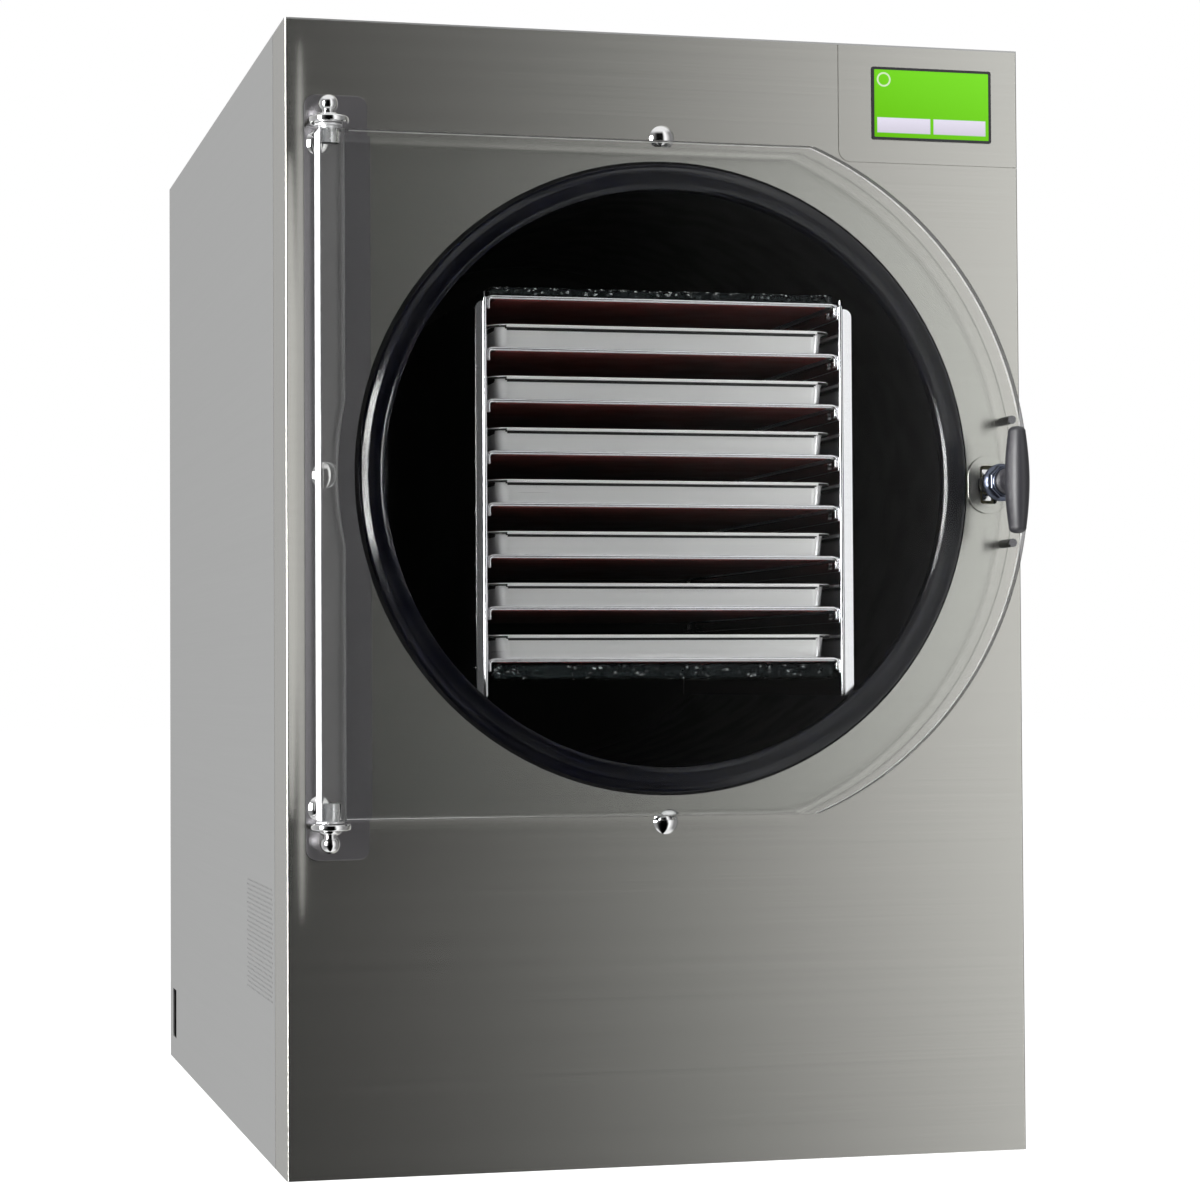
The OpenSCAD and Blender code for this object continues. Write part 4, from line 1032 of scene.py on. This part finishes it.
def build_foil(scene):
    """Creased foil boards above and below the rack: a round-cornered section in depth and height, carried across the
    width and pushed inwards by the mean of nine folded waves |sin| with random directions."""
    low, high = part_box("foil_sheets")
    crinkle = scene.dryer_rack.crinkle
    rng = np.random.default_rng(7)
    across = np.linspace(-1, 1, 260)[:, None]
    half = 0.1695
    shell = Shell()
    for z0, z1, y0, wide in (
        (high.z - 0.010, high.z, low.y, half), (low.z, low.z + 0.017, low.y + 0.003, half - 0.001)
    ):
        deep, thick = high.y - y0, z1 - z0
        radius = min(0.004, thick * 0.42)
        outline = rounded_box((-deep / 2, -thick / 2), (deep / 2, thick / 2), radius, 8)
        # More points along the flat top and bottom
        loop = np.concatenate([outline, outline[:1]])
        lengths = np.concatenate([[0], np.cumsum(np.linalg.norm(np.diff(loop, axis=0), axis=1))])
        where = np.unique(np.concatenate([np.linspace(0, lengths[-1], 220, endpoint=False), lengths[:-1]]))
        line = np.stack([np.interp(where, lengths, loop[:, k]) for k in (0, 1)], -1)
        outward = unit(line / (np.array([deep, thick]) / 2) ** 2)
        crease = np.zeros((len(across), len(line)))
        for k in range(9):
            a, b = rng.uniform(25, 190), rng.uniform(20, 150)
            crease += np.abs(np.sin(a * across + b * where[None] * 6 + rng.uniform(0, 6))) / 9
        # The two ends are pressed thinner
        squeeze = np.where(np.abs(across) > 0.985, 0.75, 1.0)
        y, z = np.moveaxis(line - crinkle * crease[..., None] * outward, -1, 0) * squeeze
        grid = np.stack([np.repeat(wide * across, len(line), 1), (y0 + high.y) / 2 + y, (z0 + z1) / 2 + z], -1)
        shell.grid(grid, close_v=True)
        for end in (grid[0], grid[-1]):
            shell.grid(np.stack([end, np.repeat(end.mean(0)[None], len(line), 0)]), close_v=True)
    shell.piece("creased_foil", "foil", "cabinet", ["foil_sheets"], sharp=180)


# ---- stage ---------------------------------------------------------------------------------

# Brightness of the studio for gloss and glass, by the angle round from straight in front, in degrees: dark at the
# front left and bright at the front right, sides and back
STUDIO = (
    (-180, 0.50), (-163, 0.45), (-150, 0.7), (-120, 0.5), (-80, 0.35), (-50, 0.3), (-38, 0.10), (-25, 0.0), (9, 0.0),
    (14, 0.08), (18, 0.50), (21, 1.0), (25, 1.25), (35, 1.25), (48, 0.7), (65, 0.25), (115, 0.25), (135, 0.7),
    (150, 0.6), (163, 0.42), (180, 0.50),
)


def add_object(name, data):
    made = bpy.data.objects.new(name, data)
    bpy.context.scene.collection.objects.link(made)
    return made


def lamp(name, place, target, size, power, shape="RECTANGLE", mirrored=False, transmitted=False, diffuse=True):
    """Soft lamp pointed at a target. Unless it is mirrored, gloss sees only the surroundings instead."""
    data = bpy.data.lights.new(name, "AREA")
    data.shape = shape
    data.size, data.size_y = size
    data.energy = power
    made = add_object(name, data)
    made.location = place
    made.rotation_euler = (Vector(target) - Vector(place)).to_track_quat("-Z", "Y").to_euler()
    made.visible_camera = False
    made.visible_glossy, made.visible_transmission, made.visible_diffuse = mirrored, transmitted, diffuse


def build_floor(stage):
    """Pale floor that glows a little for the camera, and isn't mirrored."""
    half = stage.floor_span / 2
    mesh = bpy.data.meshes.new("floor")
    mesh.from_pydata([(-half, -half, 0), (half, -half, 0), (half, half, 0), (-half, half, 0)], [], [(0, 1, 2, 3)])
    n, shader = new_finish("floor_white", Roughness=0.9)
    pale = tuple(stage.floor_colour)
    n.join(n.mix(n.noise(n.here(), 3.0, 3.0), tuple(c * 0.985 for c in pale), pale), shader.inputs["Base Color"])
    white = n.add("Emission")
    white.inputs["Strength"].default_value = 1.32
    either = n.add("MixShader")
    seen = n.times(n.add("LightPath").outputs["Is Camera Ray"], 0.72)
    for source, target in zip((seen, shader.outputs[0], white.outputs[0]), either.inputs):
        n.join(source, target)
    output = next(x for x in n.tree.nodes if x.type == "OUTPUT_MATERIAL")
    n.join(either.outputs[0], output.inputs["Surface"])
    mesh.materials.append(FINISHES["floor_white"])
    floor = add_object("floor", mesh)
    floor.visible_glossy = floor.visible_transmission = False


def build_world(stage):
    """Surroundings: white for the camera, the round of the studio for gloss and glass, an even level for matt
    surfaces."""
    world = bpy.context.scene.world = bpy.data.worlds.new("studio")
    world.use_nodes = True
    world.node_tree.nodes.clear()
    n = Nodes(world.node_tree)
    white = (1.0, 1.0, 1.0)
    x, y, z = n.split(n.add("TexCoord").outputs["Generated"])
    around = n.math("DEGREES", n.math("ARCTAN2", x, n.times(y, -1.0)))
    ramp = n.add("ValToRGB")
    n.join(n.remap(around, -180.0, 180.0), ramp.inputs[0])
    # The ramp starts with a mark at either end
    marks = ramp.color_ramp.elements
    for angle, level in STUDIO:
        spot = (angle + 180) / 360
        mark = marks[0] if spot == 0 else marks[-1] if spot == 1 else marks.new(spot)
        mark.color = (level, level, level, 1)
    # The front of the studio falls off below, on the left of the bright wall; overhead it is white
    aside = n.most(n.remap(around, 20.0, 25.0), n.remap(around, -40.0, -60.0))
    falloff = n.most(n.remap(z, -0.20, -0.07, 0.08, 1.0), aside)
    lower = n.mix(falloff, (0.0, 0.0, 0.0), ramp.outputs[0])
    steep = n.most(z, n.times(z, n.times(aside, -1.0)))
    studio = n.mix(n.remap(steep, 0.55, 0.85, smooth=True), lower, white)
    path = n.add("LightPath").outputs
    shiny = n.most(path["Is Glossy Ray"], path["Is Transmission Ray"])
    level = n.mix(shiny, (stage.ambient,) * 3, studio)
    # White behind the object, seen past it or straight through the clear door
    bounces = n.plus(path["Glossy Depth"], path["Diffuse Depth"])
    level = n.mix(n.below(bounces, 0.5), level, white)
    # Matt things behind the door get a share more
    scattered = n.times(n.above(path["Diffuse Depth"], 0.5), path["Is Transmission Ray"])
    level = n.mix(scattered, level, (0.95, 0.95, 0.95))
    sky = n.add("Background")
    n.join(level, sky.inputs["Color"])
    n.join(sky.outputs[0], n.add("OutputWorld").inputs["Surface"])


def build_camera(scene):
    stage = scene.dryer_stage
    data = bpy.data.cameras.new("camera")
    data.lens, data.sensor_width = stage.lens, 36
    data.clip_start, data.clip_end = 0.05, 200
    camera = scene.camera = add_object("camera", data)
    pan, tilt, roll = stage.camera_turn
    turn = Matrix.Identity(4)
    for degrees, axis in ((pan, "Z"), (90 + tilt, "X"), (roll, "Z")):
        turn = turn @ Matrix.Rotation(math.radians(degrees), 4, axis)
    camera.matrix_world = Matrix.Translation(stage.camera_place) @ turn
    scene.view_settings.view_transform = "Standard"


def build_stage(scene):
    """Floor, surroundings, lamps and camera."""
    build_floor(scene.dryer_stage)
    build_world(scene.dryer_stage)
    lamp("key_left", (-2.5, -3.2, 2.2), (0.0, -0.4, 0.55), (1.8, 2.2), 60)
    lamp("fill_top", (-0.2, -1.2, 3.2), (0, 0, 0.6), (2.4, 2.0), 35)
    # Tall softbox whose reflection lines every rounded edge
    lamp("strip_left", (-3.45, -2.15, 1.05), (0.0, -0.55, 0.70), (1.3, 2.4), 235, mirrored=True, transmitted=True)
    # Glow that the lit edge of the door throws on the brushed front beside it, for gloss only
    for name, x, z, size, power in (
        ("glow_long", -0.3414, 0.645, (0.0090, 0.82), 0.010), ("glow_short", -0.3508, 0.64, (0.012, 0.62), 0.013)
    ):
        lamp(name, (x, FACE - 0.030, z), (x, FACE, z), size, power, "ELLIPSE", mirrored=True, diffuse=False)
    build_camera(scene)


# ---- operators -----------------------------------------------------------------------------


class DRYER_OT_finishes(bpy.types.Operator):
    """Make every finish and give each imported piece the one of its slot"""

    bl_idname = "dryer.finishes"
    bl_label = "Finishes"

    def execute(self, context):
        dress_packed(context.scene)
        return {"FINISHED"}


class DRYER_OT_door(bpy.types.Operator):
    """Build the clear door slab with its step, chamfers, bores and holes"""

    bl_idname = "dryer.door"
    bl_label = "Door"

    def execute(self, context):
        build_door(context.scene)
        return {"FINISHED"}


class DRYER_OT_gasket(bpy.types.Operator):
    """Turn the sealing ring of the chamber"""

    bl_idname = "dryer.gasket"
    bl_label = "Gasket"

    def execute(self, context):
        build_gasket(context.scene)
        return {"FINISHED"}


class DRYER_OT_fixings(bpy.types.Operator):
    """Turn the dome bolts, the ball-headed hinge pins and the bushes of the door"""

    bl_idname = "dryer.fixings"
    bl_label = "Fixings"

    def execute(self, context):
        build_fixings(context.scene)
        return {"FINISHED"}


class DRYER_OT_latch(bpy.types.Operator):
    """Turn the latch hub and shape the spindle-like grip on its stem"""

    bl_idname = "dryer.latch"
    bl_label = "Latch"

    def execute(self, context):
        build_latch(context.scene)
        return {"FINISHED"}


class DRYER_OT_hinge(bpy.types.Operator):
    """Form the hinge plate with its two round-nosed ears, and the strike plate of the latch"""

    bl_idname = "dryer.hinge"
    bl_label = "Hinge"

    def execute(self, context):
        build_hinge(context.scene)
        return {"FINISHED"}


class DRYER_OT_rack(bpy.types.Operator):
    """Fold the two uprights with their beads, and roll the front hem of every shelf"""

    bl_idname = "dryer.rack"
    bl_label = "Rack"

    def execute(self, context):
        build_rack(context.scene)
        return {"FINISHED"}


class DRYER_OT_trays(bpy.types.Operator):
    """Press the seven trays: tapered walls, round base edge and rolled rim"""

    bl_idname = "dryer.trays"
    bl_label = "Trays"

    def execute(self, context):
        build_trays(context.scene)
        return {"FINISHED"}


class DRYER_OT_foil(bpy.types.Operator):
    """Crease the foil boards above and below the rack"""

    bl_idname = "dryer.foil"
    bl_label = "Foil"

    def execute(self, context):
        build_foil(context.scene)
        return {"FINISHED"}


class DRYER_OT_stage(bpy.types.Operator):
    """Set the pale floor, the studio surroundings, the lamps and the camera"""

    bl_idname = "dryer.stage"
    bl_label = "Stage"

    def execute(self, context):
        build_stage(context.scene)
        return {"FINISHED"}


class DRYER_PT_panel(bpy.types.Panel):
    """Lists the dryer's settings and pieces in the sidebar"""

    bl_idname = "DRYER_PT_panel"
    bl_label = "Freeze dryer"
    bl_space_type = "VIEW_3D"
    bl_region_type = "UI"
    bl_category = "Freeze dryer"

    def draw(self, context):
        for operator in OPERATORS:
            self.layout.operator(operator.bl_idname)
        for key, group in GROUPS.items():
            box = self.layout.box()
            for prop in group.__annotations__:
                box.prop(getattr(context.scene, key), prop)


OPERATORS = (
    DRYER_OT_finishes,
    DRYER_OT_door,
    DRYER_OT_gasket,
    DRYER_OT_fixings,
    DRYER_OT_latch,
    DRYER_OT_hinge,
    DRYER_OT_rack,
    DRYER_OT_trays,
    DRYER_OT_foil,
    DRYER_OT_stage,
)


def register():
    for made in (*GROUPS.values(), *OPERATORS, DRYER_PT_panel):
        bpy.utils.register_class(made)
    for key, group in GROUPS.items():
        setattr(bpy.types.Scene, key, PointerProperty(type=group))


def unregister():
    for key in GROUPS:
        delattr(bpy.types.Scene, key)
    for made in reversed((*GROUPS.values(), *OPERATORS, DRYER_PT_panel)):
        bpy.utils.unregister_class(made)


def main():
    register()
    for operator in OPERATORS:
        group, name = operator.bl_idname.split(".")
        getattr(getattr(bpy.ops, group), name)()


if __name__ == "__main__":
    main()
